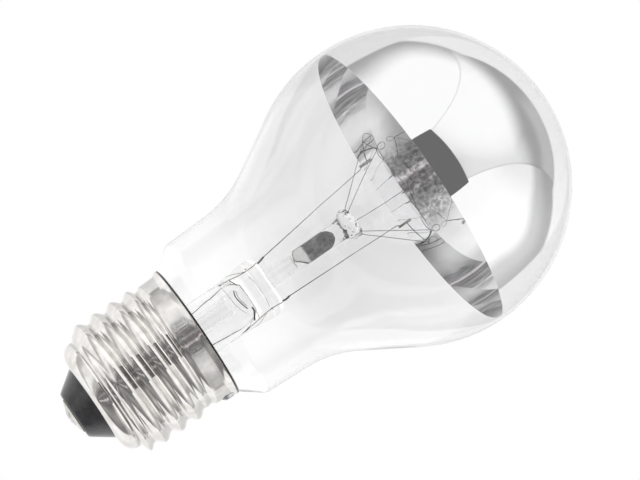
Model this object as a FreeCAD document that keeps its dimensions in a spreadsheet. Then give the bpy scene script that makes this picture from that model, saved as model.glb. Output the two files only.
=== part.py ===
"""Incandescent bulb with a mirrored crown and a screw cap, in millimetres.

The bulb stands on its centre contact: the origin is the middle of the contact's tip, +Z runs up the
bulb's axis to the crown, and the glass mount is seen face on from -Y. The driving dimensions are in
the sheet "sizes"; every sketch and placement is bound to its cells.
"""
import FreeCAD
import Part
import math
import os
from types import SimpleNamespace

import Sketcher

DRIVING_DIMENSIONS = {
    # Cap insulator and contact, from the contact's tip upwards
    "contact_rim": 0.15,
    "insulator_height": 4.23,
    "insulator_depth": 2.27,
    "insulator_tip_radius": 4.65,
    "insulator_edge": 0.35,
    "eyelet_radius": 0.85,
    "eyelet_bore_radius": 0.45,
    "eyelet_length": 1.5,
    "contact_radius": 3.55,
    "contact_dome_height": 0.2,
    "contact_dome_radius": 8.78,
    "solder_flat_radius": 0.7,
    "solder_radius": 1.9,
    "solder_top": 1.4,
    # Screw shell
    "shell_height": 22.62,
    "shell_wall": 0.25,
    "shell_flat": 0.8,
    "shell_corner_radius": 2.6,
    "shell_skirt_height": 0.5,
    "shell_skirt_step": 0.65,
    "shell_skirt_inset": 0.95,
    "thread_depth": 1.13,
    "thread_pitch": 3.629,
    "thread_run_in": 0.33,
    "thread_fade_in": 1.3,
    "thread_first_rise": 2.48,
    "thread_run_out": 0.2,
    "thread_fade_out": 1.4,
    "thread_overlap": 0.14,
    "thread_ledge": 0.02,
    "collar_height": 4.95,
    "collar_step_height": 1.0,
    "collar_step": 0.55,
    "collar_flare": 0.12,
    "lip_rise": 1.05,
    "lip_flare": 0.63,
    "lip_notch_width": 0.6,
    "lip_notch_depth": 2.05,
    # Cement and the side wire's solder
    "neck_gap": 0.5,
    "cement_depth": 3.0,
    "cement_clearance": 0.05,
    "side_solder_height": 3.0,
    "side_solder_radius": 0.85,
    "side_solder_gap": 0.15,
    "side_wire_angle": -6.0,
    # Glass envelope
    "neck_radius": 11.3,
    "neck_lift": 7.17,
    "lip_clearance": 0.0436,
    "shoulder_angle": 37.2,
    "shoulder_width": 4.765,
    "shoulder_radius": 1.93,
    "neck_length": 7.992,
    "neck_taper": 2.4,
    "waist_radius": 21.7,
    "globe_end_angle": 31.2,
    "globe_radius": 30.0,
    "glass_wall": 0.5,
    "mirror_edge_drop": 0.64,
    "mirror_thickness": 0.08,
    # Glass mount
    "mount_offset": -0.6,
    "stem_radius": 5.2,
    "stem_wall": 0.8,
    "stem_length": 24.1,
    "flare_height": 8.0,
    "flare_rim_height": 0.8,
    "press_shoulder": 3.0,
    "press_flat": 3.6,
    "press_crown": 1.15,
    "press_margin": 1.7,
    "press_top_inset": 0.9,
    "press_half_thickness": 2.0,
    "exhaust_radius": 2.0,
    "exhaust_bore_radius": 1.2,
    "exhaust_overhang": 0.5,
    "exhaust_depth": 1.8,
    "exhaust_seal": 1.6,
    "arbor_radius": 1.85,
    "arbor_bore_radius": 1.2,
    "arbor_length": 17.15,
    "arbor_seal": 0.9,
    "button_height": 3.0,
    "button_radius": 3.05,
    "plug_drop": 2.2,
    "plug_length": 8.6,
    "plug_break": 2.0,
    # Wires
    "lead_inset": 0.3,
    "lead_radius": 0.15,
    "lead_stub_radius": 0.24,
    "lead_stub_length": 2.65,
    "clamp_length": 2.4,
    "clamp_width": 0.55,
    "clamp_thickness": 0.62,
    "seal_wire_radius": 0.2,
    "outer_lead_radius": 0.15,
    "outer_lead_joint": 0.1,
    "outer_lead_drop": 7.1,
    "outer_lead_gap": 0.34,
    "outer_lead_tip_gap": 0.12,
    "support_radius": 0.1,
    "support_seat": 0.5,
    "hook_radius": 0.75,
    "hook_drop": 0.35,
    "ring_radius": 11.5,
    "filament_rise": 10.7,
    "filament_radius": 0.15,
    "left_clamp_angle": 133.4,
    "filament_sweep": 286.3,
}

# Sizes that follow from the ones above, as formulas of the sheet
DERIVED_DIMENSIONS = {
    # The cap stands on its insulator and fits round the neck
    "insulator_bottom": "contact_dome_height + contact_dome_radius + contact_rim"
                        " - sqrt(contact_dome_radius * contact_dome_radius - contact_radius * contact_radius)",
    "shell_bottom": "insulator_bottom + insulator_height",
    "lip_height": "shell_bottom + shell_height",
    "insulator_top": "shell_bottom + insulator_depth",
    "eyelet_top": "insulator_bottom + eyelet_length",
    "thread_root_radius": "neck_radius + neck_gap + shell_wall",
    "shell_skirt_radius": "thread_root_radius - shell_skirt_inset",
    "shell_mouth_radius": "shell_skirt_radius - shell_corner_radius - shell_flat",
    "shell_skirt_top": "shell_bottom + shell_corner_radius + shell_skirt_height",
    "collar_bottom": "lip_height - collar_height",
    "collar_top": "lip_height - lip_rise",
    "thread_zone_bottom": "shell_skirt_top - thread_run_in",
    "thread_full_from": "thread_zone_bottom + thread_fade_in",
    "thread_first_crest": "thread_zone_bottom + thread_first_rise",
    "thread_zone_top": "collar_bottom - thread_run_out",
    "thread_full_to": "thread_zone_top - thread_fade_out",
    "lip_notch_bottom": "lip_height - lip_notch_depth",
    "cement_bottom": "collar_bottom - cement_depth",
    "side_solder_centre": "lip_height - side_solder_gap - side_solder_height / 2",
    # The glass rises from the neck; its straight flank joins the waist to whatever globe is set
    "neck_bottom": "shell_bottom + neck_lift",
    "cone_reach": "(neck_gap + collar_step + collar_flare + lip_flare - lip_clearance) / tan(shoulder_angle)",
    "neck_top": "lip_height - cone_reach",
    "shoulder_height": "neck_top + shoulder_width / tan(shoulder_angle)"
                       " + shoulder_radius * (sin(shoulder_angle) - sin(neck_taper))",
    "waist_end_radius": "neck_radius + shoulder_width + shoulder_radius * (cos(neck_taper) - cos(shoulder_angle))"
                        " + neck_length * tan(neck_taper)",
    "waist_end_height": "shoulder_height + neck_length",
    "flank_length": "(globe_radius * cos(globe_end_angle) - waist_end_radius"
                    " - waist_radius * (cos(neck_taper) - cos(globe_end_angle))) / sin(globe_end_angle)",
    "globe_height": "waist_end_height + waist_radius * (sin(globe_end_angle) - sin(neck_taper))"
                    " + flank_length * cos(globe_end_angle) + globe_radius * sin(globe_end_angle)",
    "mirror_edge_height": "globe_height - mirror_edge_drop",
    # The mount stands on the neck's end
    "press_bottom": "neck_bottom + stem_length",
    "flare_top": "neck_bottom + flare_height",
    "press_flat_bottom": "press_bottom + press_shoulder",
    "press_flat_top": "press_flat_bottom + press_flat",
    "press_top": "press_flat_top + press_crown",
    "exhaust_tip": "neck_bottom - exhaust_overhang",
    "exhaust_top": "press_bottom + exhaust_depth",
    "button_bottom": "press_top + arbor_length",
    "button_top": "button_bottom + button_height",
    "button_middle": "button_bottom + button_height / 2",
    "plug_top": "button_bottom - plug_drop",
    "plug_bottom": "plug_top - plug_length",
    "lead_spacing": "stem_radius - stem_wall - lead_inset",
    "press_half_width": "lead_spacing + press_margin",
    "press_top_half_width": "press_half_width - press_top_inset",
    "lead_stub_top": "press_top + lead_stub_length",
    "filament_height": "button_middle + filament_rise",
    # The outer leads run midway between the exhaust tube and the stem's bore
    "outer_lead_side": "(exhaust_radius - mount_offset + stem_radius - stem_wall) / 2",
    "outer_lead_bend": "press_bottom - outer_lead_drop",
    "outer_lead_turn": "neck_top - outer_lead_gap",
    "outer_lead_tail": "neck_gap / 2 + shell_wall + collar_step + collar_flare - outer_lead_tip_gap",
}

THREAD_STATIONS_ROUND = 20
THREAD_STATIONS_PER_PITCH = 8
SUPPORT_COUNT = 5
HOOK_TOP_ANGLE = 80.0
HOOK_END_ANGLE = 200.0


class Size:
    """A length or angle that keeps its number and the sheet formula it comes from."""

    def __init__(self, value, text):
        self.value = value
        self.text = text

    def __add__(self, other):
        other = as_size(other)
        return Size(self.value + other.value, f"({self.text} + {other.text})")

    def __radd__(self, other):
        return as_size(other) + self

    def __sub__(self, other):
        other = as_size(other)
        return Size(self.value - other.value, f"({self.text} - {other.text})")

    def __rsub__(self, other):
        return as_size(other) - self

    def __mul__(self, other):
        other = as_size(other)
        return Size(self.value * other.value, f"({self.text} * {other.text})")

    def __rmul__(self, other):
        return as_size(other) * self

    def __truediv__(self, other):
        other = as_size(other)
        return Size(self.value / other.value, f"({self.text} / {other.text})")

    def __neg__(self):
        return Size(-self.value, f"(0 - {self.text})")


def as_size(value):
    """Plain numbers join a formula as they are."""
    return value if isinstance(value, Size) else Size(float(value), f"{value:g}")


def sine(angle):
    angle = as_size(angle)
    return Size(math.sin(math.radians(angle.value)), f"sin({angle.text})")


def cosine(angle):
    angle = as_size(angle)
    return Size(math.cos(math.radians(angle.value)), f"cos({angle.text})")


def tangent(angle):
    return sine(angle) / cosine(angle)


def root(value):
    return Size(math.sqrt(value.value), f"sqrt({value.text})")


def bearing(y, x):
    """Direction of the vector (x, y) in degrees."""
    return Size(math.degrees(math.atan2(y.value, x.value)), f"(atan2({y.text}; {x.text}) / 1deg)")


def arc_cosine(value):
    return Size(math.degrees(math.acos(value.value)), f"(acos({value.text}) / 1deg)")


doc = FreeCAD.newDocument("silver_crown_bulb")
sheet = doc.addObject("Spreadsheet::Sheet", "sizes")
cells = {alias: str(number) for alias, number in DRIVING_DIMENSIONS.items()}
cells.update({alias: f"={formula}" for alias, formula in DERIVED_DIMENSIONS.items()})
for row, (alias, content) in enumerate(cells.items(), start=1):
    sheet.set(f"A{row}", alias)
    sheet.set(f"B{row}", content)
    sheet.setAlias(f"B{row}", alias)
doc.recompute()
d = SimpleNamespace(**{name: Size(float(sheet.get(name)), f"sizes.{name}") for name in cells})

sub_parts = []


def bind(item, prop, size):
    """Set a property from a size, bound to the sheet unless it is a plain number."""
    if "sizes." in size.text:
        item.setExpression(prop, size.text)


def keep(item, label):
    """Name a finished sub-part after its node."""
    item.Label = label
    sub_parts.append(item)
    return item


def new_body(label):
    return doc.addObject("PartDesign::Body", label)


def place(item, x=0.0, y=0.0, z=0.0, turn=0.0):
    """Put a body at (x, y, z), turned about the vertical, all bound to the sheet."""
    x, y, z, turn = (as_size(value) for value in (x, y, z, turn))
    item.Placement = FreeCAD.Placement(
        FreeCAD.Vector(x.value, y.value, z.value),
        FreeCAD.Rotation(FreeCAD.Vector(0, 0, 1), turn.value),
    )
    bind(item, "Placement.Base.x", x)
    bind(item, "Placement.Base.y", y)
    bind(item, "Placement.Base.z", z)
    bind(item, "Placement.Rotation.Angle", turn)


def add_sketch(body, name, role="XZ_Plane", height=None):
    """Sketch on one of the body's own origin planes, lifted along its normal where asked."""
    sketch = body.newObject("Sketcher::SketchObject", name)
    plane = next(feature for feature in body.Origin.OriginFeatures if feature.Role == role)
    sketch.AttachmentSupport = [(plane, "")]
    sketch.MapMode = "FlatFace"
    if height is not None:
        sketch.AttachmentOffset = FreeCAD.Placement(FreeCAD.Vector(0, 0, height.value), FreeCAD.Rotation())
        bind(sketch, "AttachmentOffset.Base.z", height)
    return sketch


def pin(sketch, geometry, position, point):
    """Fix one point of a sketch by its two distances from the origin."""
    for kind, size in zip(("DistanceX", "DistanceY"), point):
        index = sketch.addConstraint(Sketcher.Constraint(kind, geometry, position, size.value))
        bind(sketch, f"Constraints[{index}]", size)


def arc_geometry(start, end, radius, turn):
    """Arc of a circle from start to end, under half a turn; turn is +1 anticlockwise, -1 clockwise."""
    first = FreeCAD.Vector(start[0].value, start[1].value, 0)
    last = FreeCAD.Vector(end[0].value, end[1].value, 0)
    chord = last - first
    middle = (first + last) * 0.5
    rise = math.sqrt(max(radius.value ** 2 - (chord.Length / 2) ** 2, 0.0))
    left = FreeCAD.Vector(-chord.y, chord.x, 0).normalize()
    centre = middle + left * (rise * turn)
    ends = (first, last) if turn > 0 else (last, first)
    angles = [math.atan2(point.y - centre.y, point.x - centre.x) for point in ends]
    circle = Part.Circle(centre, FreeCAD.Vector(0, 0, 1), radius.value)
    return Part.ArcOfCircle(circle, angles[0], angles[1])


def draw(sketch, path, closed=True):
    """Draw a line of points; a point may carry (radius, turn) for an arc to the next one.

    Every corner is pinned to the sheet and every arc has its radius, so the outline is fully set.
    """
    points = [(as_size(item[0]), as_size(item[1])) for item in path]
    arcs = [item[2] if len(item) > 2 else None for item in path]
    count = len(points) if closed else len(points) - 1
    ends = []
    for index in range(count):
        start, end = points[index], points[(index + 1) % len(points)]
        if arcs[index] is None:
            line = Part.LineSegment(
                FreeCAD.Vector(start[0].value, start[1].value, 0),
                FreeCAD.Vector(end[0].value, end[1].value, 0),
            )
            geometry = sketch.addGeometry(line, False)
            ends.append((geometry, 1, 2))
        else:
            radius, turn = as_size(arcs[index][0]), arcs[index][1]
            geometry = sketch.addGeometry(arc_geometry(start, end, radius, turn), False)
            ends.append((geometry, 1, 2) if turn > 0 else (geometry, 2, 1))
    for index in range(count if closed else count - 1):
        here, after = ends[index], ends[(index + 1) % count]
        sketch.addConstraint(Sketcher.Constraint("Coincident", here[0], here[2], after[0], after[1]))
    for index in range(count):
        pin(sketch, ends[index][0], ends[index][1], points[index])
        if arcs[index] is not None:
            radius = as_size(arcs[index][0])
            row = sketch.addConstraint(Sketcher.Constraint("Radius", ends[index][0], radius.value))
            bind(sketch, f"Constraints[{row}]", radius)
    if not closed:
        pin(sketch, ends[-1][0], ends[-1][2], points[-1])


def draw_circle(sketch, radius, x=0.0, y=0.0):
    x, y, radius = as_size(x), as_size(y), as_size(radius)
    circle = Part.Circle(FreeCAD.Vector(x.value, y.value, 0), FreeCAD.Vector(0, 0, 1), radius.value)
    geometry = sketch.addGeometry(circle, False)
    pin(sketch, geometry, 3, (x, y))
    row = sketch.addConstraint(Sketcher.Constraint("Radius", geometry, radius.value))
    bind(sketch, f"Constraints[{row}]", radius)


def turned(label, path, feature="PartDesign::Revolution", body=None):
    """Body turned about the vertical from an outline of (radius, height) points."""
    body = body or new_body(label)
    sketch = add_sketch(body, f"{label}_outline")
    draw(sketch, path)
    revolution = body.newObject(feature, f"{label}_turned")
    revolution.Profile = sketch
    revolution.ReferenceAxis = (sketch, ["V_Axis"])
    revolution.Angle = 360
    sketch.Visibility = False
    return body


def along(label, body, path, radius):
    """Round wire along a line of points in the body's own upright plane, starting straight up."""
    spine = add_sketch(body, f"{label}_spine")
    draw(spine, path, closed=False)
    profile = add_sketch(body, f"{label}_section", "XY_Plane", as_size(path[0][1]))
    draw_circle(profile, radius, path[0][0], 0.0)
    pipe = body.newObject("PartDesign::AdditivePipe", f"{label}_wire")
    pipe.Profile = profile
    pipe.Spine = (spine, [f"Edge{index + 1}" for index in range(len(path) - 1)])
    pipe.Transition = "Round corner"
    return pipe


def envelope_outline():
    """Outer corners and centres of the glass from the crown down to the seal, and its inner face."""
    end, taper, slope = d.globe_end_angle, d.neck_taper, d.shoulder_angle
    wall, radius, height = d.glass_wall, d.globe_radius, d.globe_height
    inner = radius - wall
    globe_end = (radius * cosine(end), height - radius * sine(end))
    flank_end = (globe_end[0] - d.flank_length * sine(end), globe_end[1] - d.flank_length * cosine(end))
    waist = (flank_end[0] + d.waist_radius * cosine(end), flank_end[1] - d.waist_radius * sine(end))
    waist_end = (d.waist_end_radius, d.waist_end_height)
    neck_end = (waist_end[0] - d.neck_length * tangent(taper), d.shoulder_height)
    bend = (neck_end[0] - d.shoulder_radius * cosine(taper), neck_end[1] + d.shoulder_radius * sine(taper))
    cone_start = (bend[0] + d.shoulder_radius * cosine(slope), bend[1] - d.shoulder_radius * sine(slope))
    small = d.shoulder_radius - wall
    wide = d.waist_radius + wall
    return [
        (0.0, height + radius, (radius, -1)),
        (globe_end[0], globe_end[1]),
        (flank_end[0], flank_end[1], (d.waist_radius, 1)),
        (waist_end[0], waist_end[1]),
        (neck_end[0], neck_end[1], (d.shoulder_radius, -1)),
        (cone_start[0], cone_start[1]),
        (d.neck_radius, d.neck_top),
        (d.neck_radius, d.neck_bottom),
        (d.neck_radius - wall, d.neck_bottom),
        (d.neck_radius - wall, d.neck_top + wall * tangent(slope / 2.0)),
        (bend[0] + small * cosine(slope), bend[1] - small * sine(slope), (small, 1)),
        (bend[0] + small * cosine(taper), bend[1] - small * sine(taper)),
        (waist[0] - wide * cosine(taper), waist[1] + wide * sine(taper), (wide, -1)),
        (flank_end[0] - wall * cosine(end), flank_end[1] + wall * sine(end)),
        (inner * cosine(end), height - inner * sine(end), (inner, 1)),
        (0.0, height + inner),
    ]


def build_envelope():
    """Blown glass: globe, drawn waist, neck and the narrow end that sits inside the cap."""
    keep(turned("glass_envelope", envelope_outline()), "glass_envelope")


def build_mirror():
    """Metal layer on the inside of the crown, down to a level edge at the globe's equator."""
    outer = d.globe_radius - d.glass_wall
    inner = outer - d.mirror_thickness
    drop = d.globe_height - d.mirror_edge_height
    keep(turned("mirror_coating", [
        (0.0, d.globe_height + outer, (outer, -1)),
        (root(outer * outer - drop * drop), d.mirror_edge_height),
        (root(inner * inner - drop * drop), d.mirror_edge_height, (inner, 1)),
        (0.0, d.globe_height + inner),
    ]), "mirror_coating")


def shell_side(inset):
    """Side of the drawn shell from mouth to lip, moved in by inset; the thread comes on top of it."""
    corner = d.shell_corner_radius - inset
    mouth = d.shell_mouth_radius + d.shell_flat
    skirt = d.shell_skirt_radius
    skirt_top = d.shell_skirt_top
    root_radius = d.thread_root_radius - inset
    collar = root_radius + d.collar_step
    return [
        (d.shell_mouth_radius, d.shell_bottom + inset),
        (mouth, d.shell_bottom + inset, (corner, 1)),
        (skirt - inset, d.shell_bottom + d.shell_corner_radius),
        (skirt - inset, skirt_top),
        (root_radius, skirt_top + d.shell_skirt_step),
        (root_radius, d.collar_bottom),
        (collar, d.collar_bottom + d.collar_step_height),
        (collar + d.collar_flare, d.collar_top),
        (collar + d.collar_flare + d.lip_flare, d.lip_height),
    ]


def smooth_step(share):
    """0 below 0, 1 above 1, smooth between."""
    share = min(max(share, 0.0), 1.0)
    return share * share * (3.0 - 2.0 * share)


def thread_radius(angle, height):
    """Outer radius of the rolled thread at an angle from +X and a height; it fades out at both ends."""
    skirt, core = d.shell_skirt_radius.value, d.thread_root_radius.value
    base = skirt + (core - skirt) * smooth_step(
        (height - d.thread_zone_bottom.value) / (d.thread_run_in.value + d.shell_skirt_step.value))
    bottom, top = d.thread_full_from.value, d.thread_full_to.value
    share = min(
        smooth_step((height - d.thread_zone_bottom.value) / (bottom - d.thread_zone_bottom.value)),
        smooth_step((d.thread_zone_top.value - height) / (d.thread_zone_top.value - top)),
    )
    turns = (height - d.thread_first_crest.value) / d.thread_pitch.value - (angle - 180.0) / 360.0
    return base + d.thread_depth.value * share * (0.5 + 0.5 * math.cos(2.0 * math.pi * turns))


def thread_skin(inset):
    """Closed spline skin through the thread's stations, moved in towards the axis by inset."""
    bottom = d.thread_zone_bottom.value - d.thread_overlap.value
    top = d.thread_zone_top.value + d.thread_overlap.value
    spans = round((top - bottom) / d.thread_pitch.value * THREAD_STATIONS_PER_PITCH)
    knots = [bottom + (top - bottom) * index / spans for index in range(spans + 1)]
    full = [bottom] * 3 + knots + [top] * 3
    heights = [sum(full[index + 1:index + 4]) / 3.0 for index in range(spans + 3)]
    step = 360.0 / THREAD_STATIONS_ROUND

    def station(round_index, height):
        angle = step * round_index
        radius = thread_radius(angle, height) - inset
        return FreeCAD.Vector(
            radius * math.cos(math.radians(angle)), radius * math.sin(math.radians(angle)), height)

    rows = []
    for column in range(THREAD_STATIONS_ROUND):
        points = []
        for height in heights:
            here = station(column, height)
            points.append(here - (station(column - 1, height) - here * 2.0 + station(column + 1, height)) / 6.0)
        poles = [points[0]]
        for index in range(1, len(points) - 1):
            bend = points[index - 1] - points[index] * 2.0 + points[index + 1]
            bend.z = 0.0
            poles.append(points[index] - bend / 6.0)
        poles.append(points[-1])
        rows.append(poles)
    skin = Part.BSplineSurface()
    skin.buildFromPolesMultsKnots(
        rows,
        [1] * (THREAD_STATIONS_ROUND + 1),
        [4] + [1] * (spans - 1) + [4],
        [float(index) for index in range(THREAD_STATIONS_ROUND + 1)],
        knots,
        True,
        False,
        3,
        3,
    )
    return skin.toShape()


def level_edge(skin, height):
    """The skin's closed edge at one of its two ends."""
    return min(skin.Edges, key=lambda edge: abs(edge.BoundBox.ZMin - height) + abs(edge.BoundBox.ZMax - height))


def build_thread():
    """Wall of the threaded zone as one closed ring; its plain ends lie inside the wall above and below."""
    ledge = d.thread_ledge.value
    outer = thread_skin(ledge)
    inner = thread_skin(d.shell_wall.value - ledge)
    faces = [outer, inner]
    for height in (d.thread_zone_bottom.value - d.thread_overlap.value,
                   d.thread_zone_top.value + d.thread_overlap.value):
        loops = [Part.Wire([level_edge(skin, height)]) for skin in (outer, inner)]
        faces.append(Part.makeFace(loops, "Part::FaceMakerBullseye"))
    ring = Part.makeShell(faces)
    ring.sewShape()
    solid = Part.Solid(ring.Shells[0])
    if solid.Volume < 0:
        solid.reverse()
    thread = doc.addObject("Part::Feature", "thread_ring")
    thread.Shape = solid
    return thread


def combine(kind, name, base, tool):
    """Boolean of two objects: Part::Cut, Part::Fuse or Part::Common."""
    result = doc.addObject(kind, name)
    result.Base = base
    result.Tool = tool
    return result


def build_shell():
    """Drawn metal shell with its rolled round thread, open at the mouth and notched at the lip."""
    wall = d.shell_wall
    below_mouth, above_lip = d.shell_bottom - wall, d.lip_height + wall
    side = shell_side(as_size(0.0))
    outside = turned("shell_outside", [(0.0, d.shell_bottom), *side, (0.0, d.lip_height)])
    side = shell_side(wall)
    inside = turned("shell_inside", [
        (0.0, below_mouth), (d.shell_mouth_radius, below_mouth), *side, (side[-1][0], above_lip), (0.0, above_lip),
    ])
    plain = combine("Part::Cut", "shell_wall_solid", outside, inside)
    zone_inner, zone_outer = d.shell_mouth_radius, d.thread_root_radius + d.thread_depth * 2.0
    zone = turned("thread_zone", [
        (zone_inner, d.thread_zone_bottom),
        (zone_outer, d.thread_zone_bottom),
        (zone_outer, d.thread_zone_top),
        (zone_inner, d.thread_zone_top),
    ])
    ends = combine("Part::Cut", "shell_wall_ends", plain, zone)
    whole = combine("Part::Fuse", "shell_wall_threaded", ends, build_thread())

    notch = doc.addObject("Part::Box", "lip_notch")
    notch_inner = d.thread_root_radius
    bind(notch, "Length", d.collar_step + d.collar_flare + d.lip_flare + wall)
    bind(notch, "Width", d.lip_notch_width)
    bind(notch, "Height", d.lip_height - d.lip_notch_bottom + wall)
    half = d.lip_notch_width / 2.0
    place(
        notch,
        notch_inner * cosine(d.side_wire_angle) + half * sine(d.side_wire_angle),
        notch_inner * sine(d.side_wire_angle) - half * cosine(d.side_wire_angle),
        d.lip_notch_bottom,
        d.side_wire_angle,
    )
    keep(combine("Part::Cut", "screw_shell", whole, notch), "screw_shell")
    return outside


def build_insulator():
    """Pressed black glass in the shell's mouth, with a hole for the centre wire's eyelet."""
    wall = d.shell_wall
    mouth = d.shell_mouth_radius + d.shell_flat
    inside = d.shell_corner_radius - wall
    seat = d.shell_bottom + wall
    drop = d.shell_bottom + d.shell_corner_radius - d.insulator_top
    slope = (d.shell_mouth_radius - d.insulator_tip_radius) / (d.shell_bottom - d.insulator_bottom)
    keep(turned("insulator", [
        (d.eyelet_radius, d.insulator_top),
        (mouth + root(inside * inside - drop * drop), d.insulator_top, (inside, -1)),
        (mouth, seat),
        (d.shell_mouth_radius, seat),
        (d.shell_mouth_radius, d.shell_bottom),
        (d.insulator_tip_radius + slope * d.insulator_edge, d.insulator_bottom + d.insulator_edge),
        (d.insulator_tip_radius - d.insulator_edge, d.insulator_bottom),
        (d.eyelet_radius, d.insulator_bottom),
    ]), "insulator")


def dome_height(radius):
    """Height of the contact's domed face at a radius."""
    sphere = d.contact_dome_radius
    return d.contact_dome_height + sphere - root(sphere * sphere - radius * radius)


def build_contact():
    """Domed centre contact with its eyelet, and the drop of solder that closes it."""
    bore, sphere = d.eyelet_bore_radius, d.contact_dome_radius
    rim = dome_height(d.contact_radius)
    keep(turned("contact_plate", [
        (bore, d.eyelet_top),
        (d.eyelet_radius, d.eyelet_top),
        (d.eyelet_radius, d.insulator_bottom),
        (d.contact_radius, d.insulator_bottom),
        (d.contact_radius, rim, (sphere, -1)),
        (bore, dome_height(bore)),
    ]), "contact_plate")
    keep(turned("contact_solder", [
        (0.0, 0.0),
        (d.solder_flat_radius, 0.0),
        (d.solder_radius - d.solder_flat_radius / 4.0, dome_height(d.solder_radius) / 2.0),
        (d.solder_radius, dome_height(d.solder_radius), (sphere, -1)),
        (bore, dome_height(bore)),
        (bore, d.solder_top),
        (0.0, d.solder_top),
    ]), "contact_solder")


def build_cement():
    """Ring of basing cement between neck and shell, with a slot for the side wire."""
    gap = d.cement_clearance
    inside = d.thread_root_radius - d.shell_wall - gap
    collar = inside + d.collar_step
    top_radius = collar + d.collar_flare
    slope = tangent(d.shoulder_angle)
    body = turned("basing_cement", [
        (d.neck_radius, d.cement_bottom),
        (inside, d.cement_bottom),
        (inside, d.collar_bottom),
        (collar, d.collar_bottom + d.collar_step_height),
        (top_radius, d.collar_top),
        (top_radius, d.neck_top + (top_radius - d.neck_radius) / slope),
        (d.neck_radius, d.neck_top),
    ])
    slot = add_sketch(body, "wire_slot_outline", "XY_Plane", d.lip_height)
    half = d.outer_lead_radius + gap * 2.0
    angle = d.side_wire_angle
    corners = []
    for out, side in ((d.neck_radius - half, -1), (d.thread_root_radius + d.lip_flare, -1),
                      (d.thread_root_radius + d.lip_flare, 1), (d.neck_radius - half, 1)):
        corners.append((out * cosine(angle) - side * half * sine(angle),
                        out * sine(angle) + side * half * cosine(angle)))
    draw(slot, corners)
    pocket = body.newObject("PartDesign::Pocket", "wire_slot")
    pocket.Profile = slot
    bind(pocket, "Length", d.lip_height - d.cement_bottom + d.shell_wall)
    keep(body, "basing_cement")


def build_side_solder(outside):
    """Drop of solder on the lip that joins the side wire to the shell."""
    radius, half = d.side_solder_radius, d.side_solder_height / 2.0
    tip = radius / 4.0
    rise = radius - tip
    bulge = (rise * rise + half * half) / (2.0 * rise)
    drop = turned("solder_drop", [
        (0.0, -half), (tip, -half, (bulge, 1)), (radius, 0.0, (bulge, 1)), (tip, half), (0.0, half),
    ])
    seat = d.thread_root_radius + d.collar_step + d.collar_flare + radius / 3.0
    place(drop, seat * cosine(d.side_wire_angle), seat * sine(d.side_wire_angle), d.side_solder_centre)
    keep(combine("Part::Cut", "side_solder", drop, outside), "side_solder")


def slot_outline(half_length, radius):
    """Flat oval: two straight sides along X joined by round ends."""
    return [
        (-half_length, -radius),
        (half_length, -radius, (radius, 1)),
        (half_length + radius, 0.0, (radius, 1)),
        (half_length, radius),
        (-half_length, radius, (radius, 1)),
        (-half_length - radius, 0.0, (radius, 1)),
    ]


def build_stem():
    """Flared glass tube whose top is pinched flat on the lead wires."""
    radius, wall, rim = d.stem_radius, d.stem_wall, d.neck_radius - d.glass_wall
    bore = radius - wall
    flare = rim - radius
    body = turned("stem_press", [
        (radius, d.press_bottom),
        (radius, d.flare_top, (flare + d.flare_top - d.neck_bottom, 1)),
        (rim, d.neck_bottom + d.flare_rim_height),
        (rim, d.neck_bottom, (flare + d.flare_top - d.neck_bottom + wall, -1)),
        (bore, d.flare_top - d.stem_wall),
        (bore, d.press_bottom),
    ])
    width, top, thick = d.press_half_width, d.press_top_half_width, d.press_half_thickness
    almost_round = d.glass_wall / 10.0
    middle = (d.press_bottom + d.press_flat_bottom) / 2.0
    stations = [
        (d.press_bottom, almost_round, radius + almost_round),
        (middle, (width - thick) * 0.6, (radius + thick) / 2.0 * 0.92),
        (d.press_flat_bottom, width - thick, thick),
        (d.press_flat_top, width - thick, thick),
        (d.press_top, top - thick, thick),
    ]
    sections = []
    for number, (height, half_length, end_radius) in enumerate(stations, start=1):
        section = add_sketch(body, f"press_section_{number}", "XY_Plane", as_size(height))
        draw(section, slot_outline(as_size(half_length), as_size(end_radius)))
        sections.append(section)
    loft = body.newObject("PartDesign::AdditiveLoft", "press")
    loft.Profile = sections[0]
    loft.Sections = sections[1:]
    loft.Ruled = True

    cavity = d.press_flat_bottom - d.press_bottom
    turned("stem_press_cavity", [
        (0.0, d.press_bottom),
        (bore, d.press_bottom, (bore, 1)),
        (0.0, d.press_bottom + cavity / 3.0),
    ], "PartDesign::Groove", body)
    holes = add_sketch(body, "seal_wire_holes", "XY_Plane", d.press_top)
    draw_circle(holes, d.seal_wire_radius, -d.lead_spacing)
    draw_circle(holes, d.seal_wire_radius, d.lead_spacing)
    pocket = body.newObject("PartDesign::Pocket", "seal_wire_bores")
    pocket.Profile = holes
    bind(pocket, "Length", d.press_top - d.press_bottom)
    seat = add_sketch(body, "exhaust_seat_outline", "XY_Plane", d.exhaust_top)
    draw_circle(seat, d.exhaust_radius, d.mount_offset)
    socket = body.newObject("PartDesign::Pocket", "exhaust_seat")
    socket.Profile = seat
    bind(socket, "Length", d.exhaust_top - d.press_bottom)
    keep(body, "stem_press")


def build_exhaust_tube():
    """Tube the bulb was pumped through: it ends in the press above and is melted shut below."""
    radius, bore = d.exhaust_radius, d.exhaust_bore_radius
    tip_flat = bore / 2.0
    body = turned("exhaust_tube", [
        (tip_flat, d.exhaust_tip),
        (radius, d.exhaust_tip + d.exhaust_seal),
        (radius, d.exhaust_top),
        (bore, d.exhaust_top),
        (bore, d.exhaust_tip + d.exhaust_seal * 1.5),
        (0.0, d.exhaust_tip + d.exhaust_seal),
        (0.0, d.exhaust_tip),
    ])
    place(body, d.mount_offset)
    keep(body, "exhaust_tube")


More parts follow.
